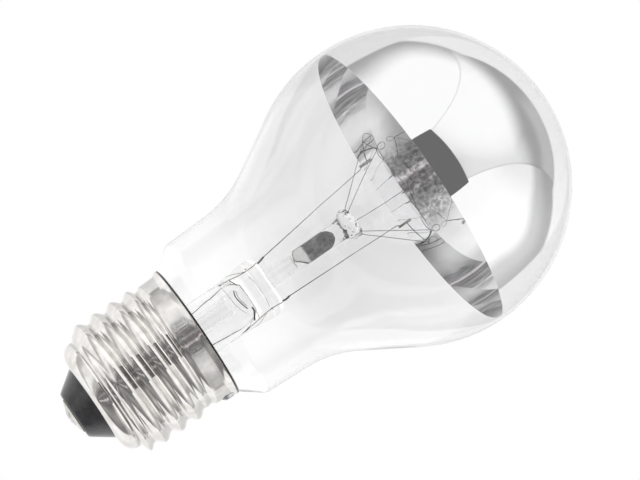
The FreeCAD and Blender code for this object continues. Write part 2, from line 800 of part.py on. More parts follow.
def build_arbor():
    """Glass tube standing on the press, its top melted into the button that holds the supports."""
    radius, bore = d.arbor_radius, d.arbor_bore_radius
    half = d.button_height / 2.0
    body = turned("arbor_glass", [
        (0.0, d.press_top),
        (radius, d.press_top),
        (radius, d.button_bottom),
        (d.button_radius - half, d.button_bottom, (half, 1)),
        (d.button_radius, d.button_middle, (half, 1)),
        (d.button_radius - half, d.button_top),
        (0.0, d.button_top),
    ])
    turned("arbor_bore", [
        (0.0, d.press_top + d.arbor_seal),
        (bore, d.press_top + d.arbor_seal),
        (bore, d.button_bottom - d.arbor_seal),
        (0.0, d.button_bottom),
    ], "PartDesign::Groove", body)
    place(body, d.mount_offset)
    return body


def build_plug():
    """Dark slug fused in the arbor's bore, round at the top and broken off askew below."""
    radius = d.arbor_bore_radius
    body = turned("vent_plug", [
        (0.0, d.plug_bottom),
        (radius, d.plug_bottom),
        (radius, d.plug_top - radius, (radius, 1)),
        (0.0, d.plug_top),
    ])
    chip = add_sketch(body, "plug_break_outline")
    draw(chip, [
        (-radius * 2.0, d.plug_bottom - radius),
        (radius * 2.0, d.plug_bottom - radius),
        (radius * 2.0, d.plug_bottom + d.plug_break * 1.5),
        (-radius * 2.0, d.plug_bottom - d.plug_break * 0.5),
    ])
    cut = body.newObject("PartDesign::Pocket", "plug_break_cut")
    cut.Profile = chip
    cut.Midplane = True
    bind(cut, "Length", radius * 4.0)
    place(body, d.mount_offset)
    keep(body, "vent_plug")


def ring_point(angle):
    """Place on the filament's ring, seen from above."""
    return (d.mount_offset + d.ring_radius * cosine(angle), d.ring_radius * sine(angle))


def build_leads(filament):
    """Nickel leads from the press to the two ends of the filament, and the seal wires below them."""
    sides = {"left": (-1, d.left_clamp_angle), "right": (1, d.left_clamp_angle + d.filament_sweep)}
    clamp_bottom = d.filament_height - d.clamp_length * 0.75
    for side, (sign, angle) in sides.items():
        foot = d.lead_spacing * sign
        tip = ring_point(angle)
        away = (tip[0] - foot, tip[1])
        reach = root(away[0] * away[0] + away[1] * away[1])
        body = new_body(f"lead_and_clamp_{side}")
        along(f"lead_{side}", body, [
            (0.0, d.press_top), (0.0, d.lead_stub_top), (reach, clamp_bottom - 0.5),
            (reach, clamp_bottom + d.clamp_length / 2.0),
        ], d.lead_radius)
        stub = add_sketch(body, f"lead_stub_{side}", "XY_Plane", d.press_top)
        draw_circle(stub, d.lead_stub_radius)
        pad = body.newObject("PartDesign::Pad", f"lead_stub_pad_{side}")
        pad.Profile = stub
        bind(pad, "Length", d.lead_stub_top - d.press_top)
        clamp = add_sketch(body, f"clamp_outline_{side}", "XY_Plane", clamp_bottom)
        half_width, half_depth = d.clamp_width / 2.0, d.clamp_thickness / 2.0
        draw(clamp, [(reach - half_depth, -half_width), (reach + half_depth, -half_width),
                     (reach + half_depth, half_width), (reach - half_depth, half_width)])
        clamp_pad = body.newObject("PartDesign::Pad", f"clamp_{side}")
        clamp_pad.Profile = clamp
        bind(clamp_pad, "Length", d.clamp_length)
        place(body, foot, 0.0, 0.0, bearing(away[1], away[0]))
        keep(combine("Part::Cut", f"inner_lead_{side}", body, filament), f"inner_lead_{side}")

        seal = turned(f"seal_wire_{side}", [
            (0.0, d.press_bottom + d.outer_lead_joint), (d.seal_wire_radius, d.press_bottom + d.outer_lead_joint),
            (d.seal_wire_radius, d.press_top), (0.0, d.press_top),
        ])
        place(seal, foot)
        keep(seal, f"seal_wire_{side}")


def build_outer_leads():
    """Copper leads inside the stem: one down to the centre contact, one round the neck's end to the lip."""
    top = d.press_bottom + d.outer_lead_joint
    straight = top - 1.0
    side = d.outer_lead_side
    left = new_body("outer_lead_left")
    along("outer_lead_left", left, [
        (-d.lead_spacing, top),
        (-d.lead_spacing, straight),
        (-side, d.outer_lead_bend),
        (-side, d.neck_bottom + 1.0),
        (0.0, d.insulator_top - 1.0),
        (0.0, d.solder_top),
    ], d.outer_lead_radius)
    keep(left, "outer_lead_left")

    inner_wall = d.thread_root_radius - d.shell_wall
    slot = (inner_wall + d.neck_radius) / 2.0
    angle = d.side_wire_angle
    away = (slot * cosine(angle) - d.lead_spacing, slot * sine(angle))
    reach = root(away[0] * away[0] + away[1] * away[1])
    below = d.neck_bottom - 1.0
    right = new_body("outer_lead_right")
    along("outer_lead_right", right, [
        (0.0, top),
        (0.0, straight),
        (side - d.lead_spacing, d.outer_lead_bend),
        (side - d.lead_spacing, below + 2.0),
        (reach, below),
        (reach, d.outer_lead_turn),
        (reach + d.outer_lead_tail, d.outer_lead_turn + d.outer_lead_tail / tangent(d.shoulder_angle)),
    ], d.outer_lead_radius)
    place(right, d.lead_spacing, 0.0, 0.0, bearing(away[1], away[0]))
    keep(right, "outer_lead_right")


def build_supports(arbor):
    """Fine wires sealed into the button, each ending in an open hook round the filament."""
    hook_x = d.ring_radius
    hook_z = d.filament_height + d.hook_drop
    step = d.filament_sweep / (SUPPORT_COUNT + 1.0)
    level = d.button_middle
    start = d.button_radius - d.support_seat
    bend = d.button_radius + d.support_seat
    away = (hook_x - bend, hook_z - level)
    distance = root(away[0] * away[0] + away[1] * away[1])
    entry = bearing(away[1], away[0]) + 180.0 + arc_cosine(d.hook_radius / distance)
    hook = [(hook_x + d.hook_radius * cosine(angle), hook_z + d.hook_radius * sine(angle))
            for angle in (entry, HOOK_TOP_ANGLE, HOOK_END_ANGLE)]
    wires = []
    for number in range(1, SUPPORT_COUNT + 1):
        name = f"support_wire_{number}"
        body = new_body(name)
        spine = add_sketch(body, f"{name}_spine")
        draw(spine, [
            (start, level), (bend, level), (*hook[0], (d.hook_radius, 1)), (*hook[1], (d.hook_radius, 1)), hook[2],
        ], closed=False)
        profile = add_sketch(body, f"{name}_section", "YZ_Plane", start)
        draw_circle(profile, d.support_radius, 0.0, level)
        pipe = body.newObject("PartDesign::AdditivePipe", f"{name}_pipe")
        pipe.Profile = profile
        pipe.Spine = (spine, ["Edge1", "Edge2", "Edge3", "Edge4"])
        pipe.Transition = "Round corner"
        place(body, d.mount_offset, 0.0, 0.0, d.left_clamp_angle + step * float(number))
        wires.append(keep(body, name))
    seats = doc.addObject("Part::Compound", "support_seats")
    seats.Links = wires
    keep(combine("Part::Cut", "arbor_tube", arbor, seats), "arbor_tube")


def build_filament():
    """Coiled filament as one thin round wire, hung in straight runs from hook to hook."""
    body = new_body("filament")
    spine = add_sketch(body, "filament_spine", "XY_Plane", d.filament_height)
    step = d.filament_sweep / (SUPPORT_COUNT + 1.0)
    corners = []
    for number in range(SUPPORT_COUNT + 2):
        angle = step * (float(number) - 0.5)
        corners.append((d.ring_radius * cosine(angle), d.ring_radius * sine(angle)))
    draw(spine, corners, closed=False)
    profile = add_sketch(body, "filament_section", "XZ_Plane", d.ring_radius * sine(step * 0.5))
    draw_circle(profile, d.filament_radius, corners[0][0], d.filament_height)
    pipe = body.newObject("PartDesign::AdditivePipe", "filament_coil")
    pipe.Profile = profile
    pipe.Spine = (spine, [f"Edge{number}" for number in range(1, SUPPORT_COUNT + 2)])
    pipe.Transition = "Round corner"
    place(body, d.mount_offset, 0.0, 0.0, d.left_clamp_angle + step * 0.5)
    return keep(body, "filament")


build_envelope()
build_mirror()
outside_of_shell = build_shell()
build_insulator()
build_contact()
build_cement()
build_side_solder(outside_of_shell)
build_stem()
build_exhaust_tube()
arbor_glass = build_arbor()
build_plug()
build_leads(build_filament())
build_outer_leads()
build_supports(arbor_glass)
doc.recompute()

failed = [item.Name for item in doc.Objects if "Invalid" in item.State or "Error" in item.State]
for part in sub_parts:
    shape = part.Shape
    if shape.isNull() or not shape.isValid():
        failed.append(part.Label)
if failed:
    raise RuntimeError(f"not built: {failed}")
os.makedirs("parts", exist_ok=True)
for part in sub_parts:
    part.Shape.exportStep(f"parts/{part.Label}.step")
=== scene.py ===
"""Dressed model of the mirrored-crown bulb: blown glass, mirror, screw cap and filament mount."""
import logging
import math
from collections.abc import Callable
from dataclasses import dataclass, field
from enum import Enum

import bpy
from mathutils import Euler, Matrix, Vector, noise


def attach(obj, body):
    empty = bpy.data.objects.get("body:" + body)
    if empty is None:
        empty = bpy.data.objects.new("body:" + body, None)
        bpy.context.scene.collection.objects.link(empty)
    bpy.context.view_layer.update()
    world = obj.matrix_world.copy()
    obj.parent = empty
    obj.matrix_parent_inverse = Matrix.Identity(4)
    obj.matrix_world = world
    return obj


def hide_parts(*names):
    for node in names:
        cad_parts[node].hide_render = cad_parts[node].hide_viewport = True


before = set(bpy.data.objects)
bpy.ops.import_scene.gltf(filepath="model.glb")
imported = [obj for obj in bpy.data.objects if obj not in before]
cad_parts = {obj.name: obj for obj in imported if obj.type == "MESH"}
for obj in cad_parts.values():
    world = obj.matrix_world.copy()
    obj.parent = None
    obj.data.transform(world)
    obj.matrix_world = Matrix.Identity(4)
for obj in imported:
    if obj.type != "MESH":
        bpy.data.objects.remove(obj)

LOG = logging.getLogger("bulb")
MM = 0.001
DEGREES = math.degrees(1.0)

Point = tuple[float, float]
Point3 = tuple[float, float, float]
Shape = bpy.types.Object
Socket = bpy.types.NodeSocket


# Helpers for modelling


def deselect() -> None:
    """Leave edit mode and clear the selection."""
    if bpy.context.object is not None and bpy.context.object.mode != "OBJECT":
        bpy.ops.object.mode_set(mode="OBJECT")
    bpy.ops.object.select_all(action="DESELECT")


def activate(shape: Shape) -> None:
    """Select one object alone and make it active.

    Args:
        shape: the object.
    """
    deselect()
    shape.select_set(True)
    bpy.context.view_layer.objects.active = shape


def edit(shape: Shape) -> None:
    """Enter edit mode on one object with all of its mesh selected.

    Args:
        shape: the mesh object.
    """
    activate(shape)
    bpy.ops.object.mode_set(mode="EDIT")
    bpy.ops.mesh.select_all(action="SELECT")


def pick(shape: Shape, kind: str, wanted: Callable[[object], bool]) -> None:
    """Enter edit mode on one object with only some of its mesh selected.

    Args:
        shape: the mesh object.
        kind: vertices or edges.
        wanted: tells whether one of them is selected.
    """
    edit(shape)
    bpy.ops.mesh.select_all(action="DESELECT")
    bpy.ops.object.mode_set(mode="OBJECT")
    for element in getattr(shape.data, kind):
        element.select = wanted(element)
    bpy.ops.object.mode_set(mode="EDIT")


def settle(shape: Shape, smooth_angle: float = 40.0) -> Shape:
    """Bake the object's place into its mesh and shade it smooth.

    Args:
        shape: the finished mesh object.
        smooth_angle: edges sharper than this stay crisp, in degrees.

    Returns:
        The same object, at the origin, unturned and unscaled.
    """
    activate(shape)
    bpy.ops.object.transform_apply(location=True, rotation=True, scale=True)
    bpy.ops.object.shade_smooth_by_angle(angle=math.radians(smooth_angle))
    return shape


def ease(share: float) -> float:
    """Smooth step from 0 to 1, level at both ends and beyond them."""
    share = min(max(share, 0.0), 1.0)
    return share * share * (3.0 - 2.0 * share)


def arc(centre: Point, radius: float, start: float, end: float, steps: int) -> list[Point]:
    """Points on an arc in the (radius, height) half plane.

    Args:
        centre: centre of the arc in millimetres.
        radius: its radius in millimetres.
        start: first angle in degrees from the outward direction.
        end: last angle in degrees.
        steps: how many runs the arc is divided into.

    Returns:
        The points from start to end, both included.
    """
    angles = [math.radians(start + (end - start) * index / steps) for index in range(steps + 1)]
    return [(centre[0] + radius * math.cos(angle), centre[1] + radius * math.sin(angle)) for angle in angles]


def run(start: Point, end: Point, steps: int, bend: Callable[[float], float] = float) -> list[Point]:
    """Points on a run in the (radius, height) half plane, at even heights.

    Args:
        start: the point before the run.
        end: its last point.
        steps: how many points it has.
        bend: turns the share of the height into the share of the radius.

    Returns:
        The points after start, up to end.
    """
    shares = [index / steps for index in range(1, steps + 1)]
    return [(start[0] + (end[0] - start[0]) * bend(share), start[1] + (end[1] - start[1]) * share)
            for share in shares]


def lathe(name: str, outline: list[Point], steps: int = 96, x: float = 0.0, closed: bool = False) -> Shape:
    """Spin an outline of (radius, height) points about the vertical.

    Args:
        name: name of the piece.
        outline: points in millimetres, in order.
        steps: divisions round the axis.
        x: place of the axis along X in millimetres.
        closed: whether the outline's last point joins its first.

    Returns:
        The spun mesh, its normals outwards.
    """
    deselect()
    here = outline[0]
    bpy.ops.mesh.primitive_plane_add(size=MM, location=(x * MM, 0, 0))
    shape = bpy.context.object
    shape.name = shape.data.name = name
    bpy.ops.object.transform_apply(location=True, rotation=False, scale=False)
    edit(shape)
    bpy.ops.mesh.merge(type="CENTER")
    bpy.ops.transform.translate(value=(here[0] * MM, 0, here[1] * MM))
    for point in outline[1:] + (outline[:1] if closed else []):
        step = ((point[0] - here[0]) * MM, 0, (point[1] - here[1]) * MM)
        bpy.ops.mesh.extrude_vertices_move(TRANSFORM_OT_translate={"value": step})
        here = point
    bpy.ops.mesh.select_all(action="SELECT")
    bpy.ops.mesh.spin(steps=steps, angle=math.tau, center=(x * MM, 0, 0), axis=(0, 0, 1), use_auto_merge=True)
    bpy.ops.mesh.select_all(action="SELECT")
    bpy.ops.mesh.remove_doubles(threshold=2e-7)
    bpy.ops.mesh.select_all(action="SELECT")
    bpy.ops.mesh.normals_make_consistent(inside=False)
    return settle(shape)


def wire(name: str, points: list[Point3], radius: float, smooth: bool = False, sides: int = 3) -> Shape:
    """Round wire along points, made a mesh with closed ends.

    Args:
        name: name of the piece.
        points: the line in millimetres.
        radius: radius of the wire in millimetres.
        smooth: whether the line is a smooth spline near the points.
        sides: bevel resolution of the section.

    Returns:
        The mesh of the wire.
    """
    deselect()
    curve = bpy.data.curves.new(name, "CURVE")
    curve.dimensions = "3D"
    curve.bevel_depth = radius * MM
    curve.bevel_resolution = sides
    curve.use_fill_caps = True
    curve.resolution_u = 6
    spline = curve.splines.new("NURBS" if smooth else "POLY")
    spline.points.add(len(points) - 1)
    for slot, point in zip(spline.points, points):
        slot.co = (point[0] * MM, point[1] * MM, point[2] * MM, 1.0)
    if smooth:
        spline.order_u = 3
        spline.use_endpoint_u = True
    shape = bpy.data.objects.new(name, curve)
    bpy.context.scene.collection.objects.link(shape)
    activate(shape)
    bpy.ops.object.convert(target="MESH")
    shape = bpy.context.object
    shape.name = shape.data.name = name
    return settle(shape, 60.0)


def join(name: str, shapes: list[Shape]) -> Shape:
    """Make one object of several.

    Args:
        name: name of the joined piece.
        shapes: the meshes to join.

    Returns:
        The joined object.
    """
    activate(shapes[0])
    for shape in shapes[1:]:
        shape.select_set(True)
    bpy.ops.object.join()
    whole = bpy.context.object
    whole.name = whole.data.name = name
    return whole


def apply_modifier(shape: Shape, kind: str, **settings: object) -> None:
    """Add a modifier and apply it.

    Args:
        shape: the mesh object.
        kind: the modifier's type.
        settings: the modifier's properties.
    """
    activate(shape)
    modifier = shape.modifiers.new(kind.title(), kind)
    for key, value in settings.items():
        setattr(modifier, key, value)
    bpy.ops.object.modifier_apply(modifier=modifier.name)


# Helpers for finishes


def linear(code: str) -> tuple[float, ...]:
    """Turn an sRGB hex colour into linear values.

    Args:
        code: six hex digits.

    Returns:
        Linear red, green and blue, and full opacity.
    """
    values = [int(code[index:index + 2], 16) / 255.0 for index in (0, 2, 4)]
    return *(value / 12.92 if value <= 0.04045 else ((value + 0.055) / 1.055) ** 2.4 for value in values), 1.0


@dataclass
class Graph:
    """Node tree being built."""

    tree: bpy.types.NodeTree

    def fill(self, socket: Socket, value: object) -> None:
        """Link or fill one input.

        Args:
            socket: the input.
            value: an output socket, a hex colour or a plain value.
        """
        if isinstance(value, Socket):
            self.tree.links.new(value, socket)
        else:
            socket.default_value = linear(value) if isinstance(value, str) else value

    def add(self, kind: str, *values: object, out: int | str = 0, stops: dict[float, str] | None = None,
            **options: object) -> Socket:
        """Add a node with its settings and links.

        Args:
            kind: node type without its prefix.
            values: what fills the inputs that the settings leave in use, in their order.
            out: number or name of the output that is wanted.
            stops: position and hex colour of each stop, for a colour ramp.
            options: properties of the node, and inputs by their names.

        Returns:
            The wanted output.
        """
        node = self.tree.nodes.new("ShaderNode" + kind)
        for key, option in options.items():
            if key in node.inputs:
                self.fill(node.inputs[key], option)
            else:
                setattr(node, key, option)
        for socket, value in zip([socket for socket in node.inputs if socket.enabled], values):
            self.fill(socket, value)
        if stops:
            elements = node.color_ramp.elements
            while len(elements) < len(stops):
                elements.new(0.5)
            for element, (position, code) in zip(elements, stops.items()):
                element.position = position
                element.color = linear(code)
        return node.outputs[out] if out else [socket for socket in node.outputs if socket.enabled][0]

    def shade(self, **values: object) -> None:
        """Fill inputs of the surface shader, named with an underscore for each space."""
        for name, value in values.items():
            self.fill(self.tree.nodes["Principled BSDF"].inputs[name.replace("_", " ")], value)

    def fade(self, *steps: tuple) -> Socket:
        """Product of smooth steps.

        Args:
            steps: for each, the driving value, the two limits it runs between, and its results at them
                where they aren't 0 and 1.

        Returns:
            The product.
        """
        whole, *others = [self.add("MapRange", *step, interpolation_type="SMOOTHSTEP") for step in steps]
        for other in others:
            whole = self.add("Math", whole, other, operation="MULTIPLY")
        return whole

    def grain(self, size: float, detail: float = 3.0, stretch: Point3 = (1.0, 1.0, 1.0)) -> Socket:
        """Noise whose blotches have a real size.

        Args:
            size: rough size of one blotch in millimetres.
            detail: octaves of finer noise.
            stretch: scale of the pattern along each axis.

        Returns:
            The noise value.
        """
        mapped = self.add("Mapping", Vector=self.add("TexCoord", out="Object"), Scale=stretch)
        return self.add("TexNoise", Vector=mapped, Scale=1.0 / (size * MM), Detail=detail)

    def wander(self, size: float, reach: float) -> Socket:
        """Noise about zero that moves a limit to and fro.

        Args:
            size: rough size of one wave in millimetres.
            reach: how far it moves either way in millimetres.

        Returns:
            The shift in metres.
        """
        wave = self.grain(size, 2.0)
        return self.add("Math", wave, 2.0 * reach * MM, -reach * MM, operation="MULTIPLY_ADD")

    def relief(self, height: Socket, depth: float) -> None:
        """Raise the surface by a height from 0 to 1 times a depth in millimetres."""
        self.shade(Normal=self.add("Bump", Height=height, Distance=depth * MM, Strength=1.0))


def new_material(name: str) -> tuple[bpy.types.Material, Graph]:
    """Start a node material.

    Args:
        name: the real material's name.

    Returns:
        The material and its graph.
    """
    material = bpy.data.materials.new(name)
    material.use_nodes = True
    return material, Graph(material.node_tree)


@dataclass(frozen=True)
class Glass:
    """Clear drawn or blown glass.

    The painted shade is a thin grey tint laid in the glass, thicker upwards and thinner towards +X.
    Its limits are in millimetres.
    """

    name: str
    tint: str
    ior: float
    ripple: float
    ripple_depth: float
    painted_shade: str | None = None
    painted_shade_heights: Point = (34.0, 58.0)
    painted_shade_sides: Point = (6.0, 24.0)
    painted_shade_thin: float = 0.25

    def make(self) -> bpy.types.Material:
        """Build the material: colourless body, faint long ripples left by blowing or drawing.

        Returns:
            The material.
        """
        material, graph = new_material(self.name)
        tint = self.tint
        # Painted shade: a grey tint in the glass, stronger upwards and fainter towards +X
        if self.painted_shade:
            axes = graph.add("SeparateXYZ", graph.add("TexCoord", out="Object")).node.outputs
            drift = graph.wander(16.0, 6.0)
            height, side = [graph.add("Math", axes[axis], drift, operation="ADD") for axis in (2, 0)]
            amount = graph.fade((height, *(limit * MM for limit in self.painted_shade_heights)),
                                (side, *(limit * MM for limit in self.painted_shade_sides), 1.0, self.painted_shade_thin))
            tint = graph.add("Mix", amount, self.tint, self.painted_shade, data_type="RGBA")
        graph.shade(Base_Color=tint, Transmission_Weight=1.0, Roughness=0.0, IOR=self.ior)
        graph.relief(graph.grain(self.ripple, 1.0, (1.0, 1.0, 0.35)), self.ripple_depth)
        return material


@dataclass(frozen=True)
class Metal:
    """Solid, plated or drawn metal.

    A clean tone is what shows above the flame's reach, well over the press. An edge tone is painted shade
    that greys the metal where it turns away from the eye. Sizes are in millimetres.
    """

    name: str
    bright: str
    dull: str
    rough_low: float
    rough_high: float
    blotch: float
    relief: float
    relief_depth: float
    stretch: Point3 = (1.0, 1.0, 1.0)
    clean: str | None = None
    edge: str | None = None
    clean_heights: Point = (47.0, 62.0)
    grazing_shade_limits: Point = (0.45, 0.95)

    def make(self) -> bpy.types.Material:
        """Build the material: two tones in soft blotches, uneven gloss and a fine relief.

        Returns:
            The material.
        """
        material, graph = new_material(self.name)
        blotch = graph.grain(self.blotch, 4.0)
        colour = graph.add("ValToRGB", blotch, stops={0.35: self.dull, 0.65: self.bright})
        if self.clean:
            height = graph.add("SeparateXYZ", graph.add("TexCoord", out="Object")).node.outputs[2]
            amount = graph.fade((height, *(limit * MM for limit in self.clean_heights)))
            colour = graph.add("Mix", amount, colour, self.clean, data_type="RGBA")
        # Painted shade: the edge tone greys the metal where it turns away from the eye
        if self.edge:
            amount = graph.fade((graph.add("LayerWeight", Blend=0.5, out="Facing"), *self.grazing_shade_limits))
            colour = graph.add("Mix", amount, colour, self.edge, data_type="RGBA")
        graph.shade(Metallic=1.0, Base_Color=colour,
                    Roughness=graph.fade((blotch, 0.3, 0.7, self.rough_high, self.rough_low)))
        graph.relief(graph.grain(self.relief, 2.0, self.stretch), self.relief_depth)
        return material


@dataclass(frozen=True)
class Dull:
    """Cement, black glass and other bodies that are not metal, sizes in millimetres."""

    name: str
    light: str
    dark: str
    rough: float
    blotch: float
    relief: float
    relief_depth: float

    def make(self) -> bpy.types.Material:
        """Build the material: two tones and a relief at their real sizes.

        Returns:
            The material.
        """
        material, graph = new_material(self.name)
        blotch = graph.grain(self.blotch, 5.0)
        colour = graph.add("ValToRGB", blotch, stops={0.38: self.dark, 0.62: self.light})
        graph.shade(Base_Color=colour, Roughness=self.rough)
        graph.relief(graph.grain(self.relief), self.relief_depth)
        return material


@dataclass(frozen=True)
class Slag:
    """Slug of glass full of dust, clear at its broken foot, fused to the tube round it.

    The foot's limits are heights in millimetres; the painted edge shade's are shares of turning away from the
    eye.
    """

    name: str
    light: str
    dark: str
    foot: str
    edge_shade: str
    foot_heights: Point = (53.0, 53.3)
    edge_shade_limits: Point = (0.55, 0.9)

    def make(self) -> bpy.types.Material:
        """Build the material: mottled body, pale foot and painted shade that darkens the edges.

        Returns:
            The material.
        """
        material, graph = new_material(self.name)
        body = graph.add("ValToRGB", graph.grain(0.8, 4.0), stops={0.36: self.dark, 0.64: self.light})
        height = graph.add("SeparateXYZ", graph.add("TexCoord", out="Object")).node.outputs[2]
        level = graph.add("Math", height, graph.wander(1.5, 0.4), operation="ADD")
        pale = graph.fade((level, *(limit * MM for limit in self.foot_heights), 1.0, 0.0))
        clear = graph.add("Math", pale, 0.35, 0.6, operation="MULTIPLY_ADD")
        body = graph.add("Mix", pale, body, self.foot, data_type="RGBA")
        # Painted shade: the edges darken where they turn away from the eye
        edge = graph.fade((graph.add("LayerWeight", Blend=0.5, out="Facing"), *self.edge_shade_limits))
        inner = graph.add("Math", 1.0, edge, operation="SUBTRACT")
        body = graph.add("Mix", edge, body, self.edge_shade, data_type="RGBA")
        clear = graph.add("Math", clear, inner, operation="MULTIPLY")
        graph.shade(Base_Color=body, Transmission_Weight=clear, IOR=1.1, Roughness=0.4)
        graph.relief(graph.grain(0.5), 0.05)
        return material


class Finish(Enum):
    """Finishes of the bulb, each named for the real material."""

    # Soda-lime glass, blown in a mould: clear, with faint long ripples and a grey tint of painted shade,
    # darker upwards
    BULB_GLASS = Glass("soda_lime_glass", "FEFEFE", 1.45, 14.0, 0.02, "F3F3F3")
    # Lead glass, drawn as tube and pinched hot: clear, and bends light so little that its edges stay pale
    MOUNT_GLASS = Glass("lead_glass", "FEFEFE", 1.3, 2.5, 0.02)
    # The same glass melted to a button: wrinkled all over
    MELTED_GLASS = Glass("lead_glass_melted", "FFFFFF", 1.3, 0.9, 0.6)
    # Aluminium evaporated on the glass: almost a perfect mirror, wavy as the glass under it
    MIRROR = Metal("evaporated_aluminium", "F4F4F4", "F0F0F1", 0.0, 0.015, 30.0, 11.0, 0.006)
    # Nickel plate on drawn brass: warm pale grey, soft gloss, with painted shade greying it where it turns
    # from the eye
    NICKEL = Metal("nickel_plate", "E6E4E1", "CFCCC8", 0.03, 0.09, 2.2, 0.6, 0.003, edge="B4B1AD")
    # Tinned brass, dull and wiped
    TINNED = Metal("tinned_brass", "D2CFC9", "B4B0A8", 0.25, 0.42, 1.2, 0.3, 0.01)
    # Soft solder, set in a drop: bright skin with a dull frost
    SOLDER = Metal("soft_solder", "D6D6D6", "AEB0B2", 0.18, 0.4, 0.8, 0.35, 0.03)
    # Nickel wire, drawn: baked dark near the press, clean grey higher up
    NICKEL_WIRE = Metal("nickel_wire", "6E6A66", "3C3937", 0.22, 0.38, 1.0, 0.12, 0.004, (1.0, 1.0, 0.1),
                        clean="B8B5B2")
    # Molybdenum wire, drawn and baked: dull grey
    MOLYBDENUM = Metal("molybdenum_wire", "A6A4A2", "7C7A78", 0.25, 0.42, 0.8, 0.1, 0.003)
    # Tungsten coil, aged: dull grey with a blue hint
    TUNGSTEN = Metal("tungsten", "A9A9AC", "77777A", 0.30, 0.45, 0.6, 0.1, 0.003)
    # Copper-sheathed wire, red-brown with borax where it passes through glass
    SEAL_COPPER = Metal("borated_copper", "B08C80", "7E6258", 0.3, 0.5, 0.5, 0.1, 0.003)
    # Bare copper wire, dulled by the flame
    COPPER = Metal("copper_wire", "6E6159", "453C38", 0.28, 0.45, 1.5, 0.12, 0.004)
    # Black pressed glass, glossy with a slightly pitted skin
    BLACK_GLASS = Dull("black_pressed_glass", "38383A", "29292B", 0.24, 1.6, 0.5, 0.02)
    # Basing cement of resin and marble flour, dry and grainy
    CEMENT = Dull("basing_cement", "A8957A", "7C6B54", 0.75, 0.9, 0.25, 0.05)
    # Resin that has crept up round the lip and gone black
    LIP_RESIN = Dull("blackened_resin", "35302D", "171513", 0.25, 1.2, 0.4, 0.03)
    # Scorched folds of the pinched glass, thin brown lines
    SCORCH = Dull("scorched_glass", "8E8270", "564C3E", 0.4, 0.5, 0.3, 0.02)
    # Dust-filled slug in the tube, mottled grey, its broken foot almost clear, with painted shade along its
    # edges
    SLUG = Slag("dusty_slag", "C8C8C8", "86868A", "EEEEEC", "28282A")


@dataclass
class Workshop:
    """Keeps one material per finish and dresses the pieces."""

    made: dict[Finish, bpy.types.Material] = field(default_factory=dict)

    def get(self, finish: Finish) -> bpy.types.Material:
        """Material of a finish, made once.

        Args:
            finish: the finish.

        Returns:
            Its material.
        """
        if finish not in self.made:
            self.made[finish] = finish.value.make()
        return self.made[finish]

    def dress(self, shape: Shape, finish: Finish, slot: str, *nodes: str) -> None:
        """Dress a piece, let it ride on the bulb and stand for its solids.

        Args:
            shape: the finished mesh.
            finish: its finish.
            slot: the record's material slot; not used.
            nodes: the solids that it stands for.
        """
        shape.data.materials.clear()
        shape.data.materials.append(self.get(finish))
        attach(shape, "root")
        if nodes:
            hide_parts(*nodes)
        LOG.info("%s: %d faces", shape.name, len(shape.data.polygons))


# Sub-assemblies, sizes in millimetres


@dataclass
class Envelope:
    """Blown glass envelope and the mirror on the inside of its crown."""

    shop: Workshop
    globe: float = 30.0
    height: float = 76.36
    wall: float = 0.5
    globe_end: float = 31.2
    flank: float = 11.1
    waist: float = 21.7
    taper: float = 2.4
    shoulder_height: float = 33.0
    shoulder: float = 1.93
    slope: float = 37.2
    neck: float = 11.3
    neck_bottom: float = 12.5
    mirror_edge: float = 75.72
    mirror_gap: float = 0.03
    mirror_wall: float = 0.05
    steps: int = 128

    def side(self, inset: float) -> list[Point]:
        """Outline from the crown's top down to the neck's end.

        Args:
            inset: how far it lies inside the outer face.

        Returns:
            The outline's points.
        """
        end, taper, slope = (math.radians(angle) for angle in (self.globe_end, self.taper, self.slope))
        points = arc((0.0, self.height), self.globe - inset, 90.0, -self.globe_end, 56)
        points[0] = (0.0, points[0][1])
        corner = (self.globe * math.cos(end), self.height - self.globe * math.sin(end))
        flank_end = (corner[0] - self.flank * math.sin(end), corner[1] - self.flank * math.cos(end))
        middle = (flank_end[0] + self.waist * math.cos(end), flank_end[1] - self.waist * math.sin(end))
        points += arc(middle, self.waist + inset, 180.0 - self.globe_end, 180.0 - self.taper, 16)
        waist_end = (middle[0] - self.waist * math.cos(taper), middle[1] + self.waist * math.sin(taper))
        neck_end = waist_end[0] - (waist_end[1] - self.shoulder_height) * math.tan(taper)
        bend = (neck_end - self.shoulder * math.cos(taper),
                self.shoulder_height + self.shoulder * math.sin(taper))
        points += arc(bend, self.shoulder - inset, -self.taper, -self.slope, 8)
        start = (bend[0] + self.shoulder * math.cos(slope), bend[1] - self.shoulder * math.sin(slope))
        cone_end = start[1] - (start[0] - self.neck) / math.tan(slope) + inset * math.tan(slope / 2.0)
        return points + [(self.neck - inset, cone_end), (self.neck - inset, self.neck_bottom)]

    def build(self) -> None:
        """Spin the glass with its wall, and the mirror just inside it."""
        glass = lathe("bulb_glass", self.side(0.0) + self.side(self.wall)[::-1], self.steps)
        self.shop.dress(glass, Finish.BULB_GLASS, "clear_glass", "glass_envelope")

        edge = self.height - self.mirror_edge
        face = self.globe - self.wall - self.mirror_gap
        back = face - self.mirror_wall
        low = [-math.degrees(math.asin(edge / radius)) for radius in (face, back)]
        outline = arc((0.0, self.height), face, 90.0, low[0], 72)
        outline += arc((0.0, self.height), back, low[1], 90.0, 72)
        outline[0] = (0.0, outline[0][1])
        outline[-1] = (0.0, outline[-1][1])
        mirror = lathe("crown_mirror", outline, self.steps)
        self.shop.dress(mirror, Finish.MIRROR, "crown_mirror", "mirror_coating")


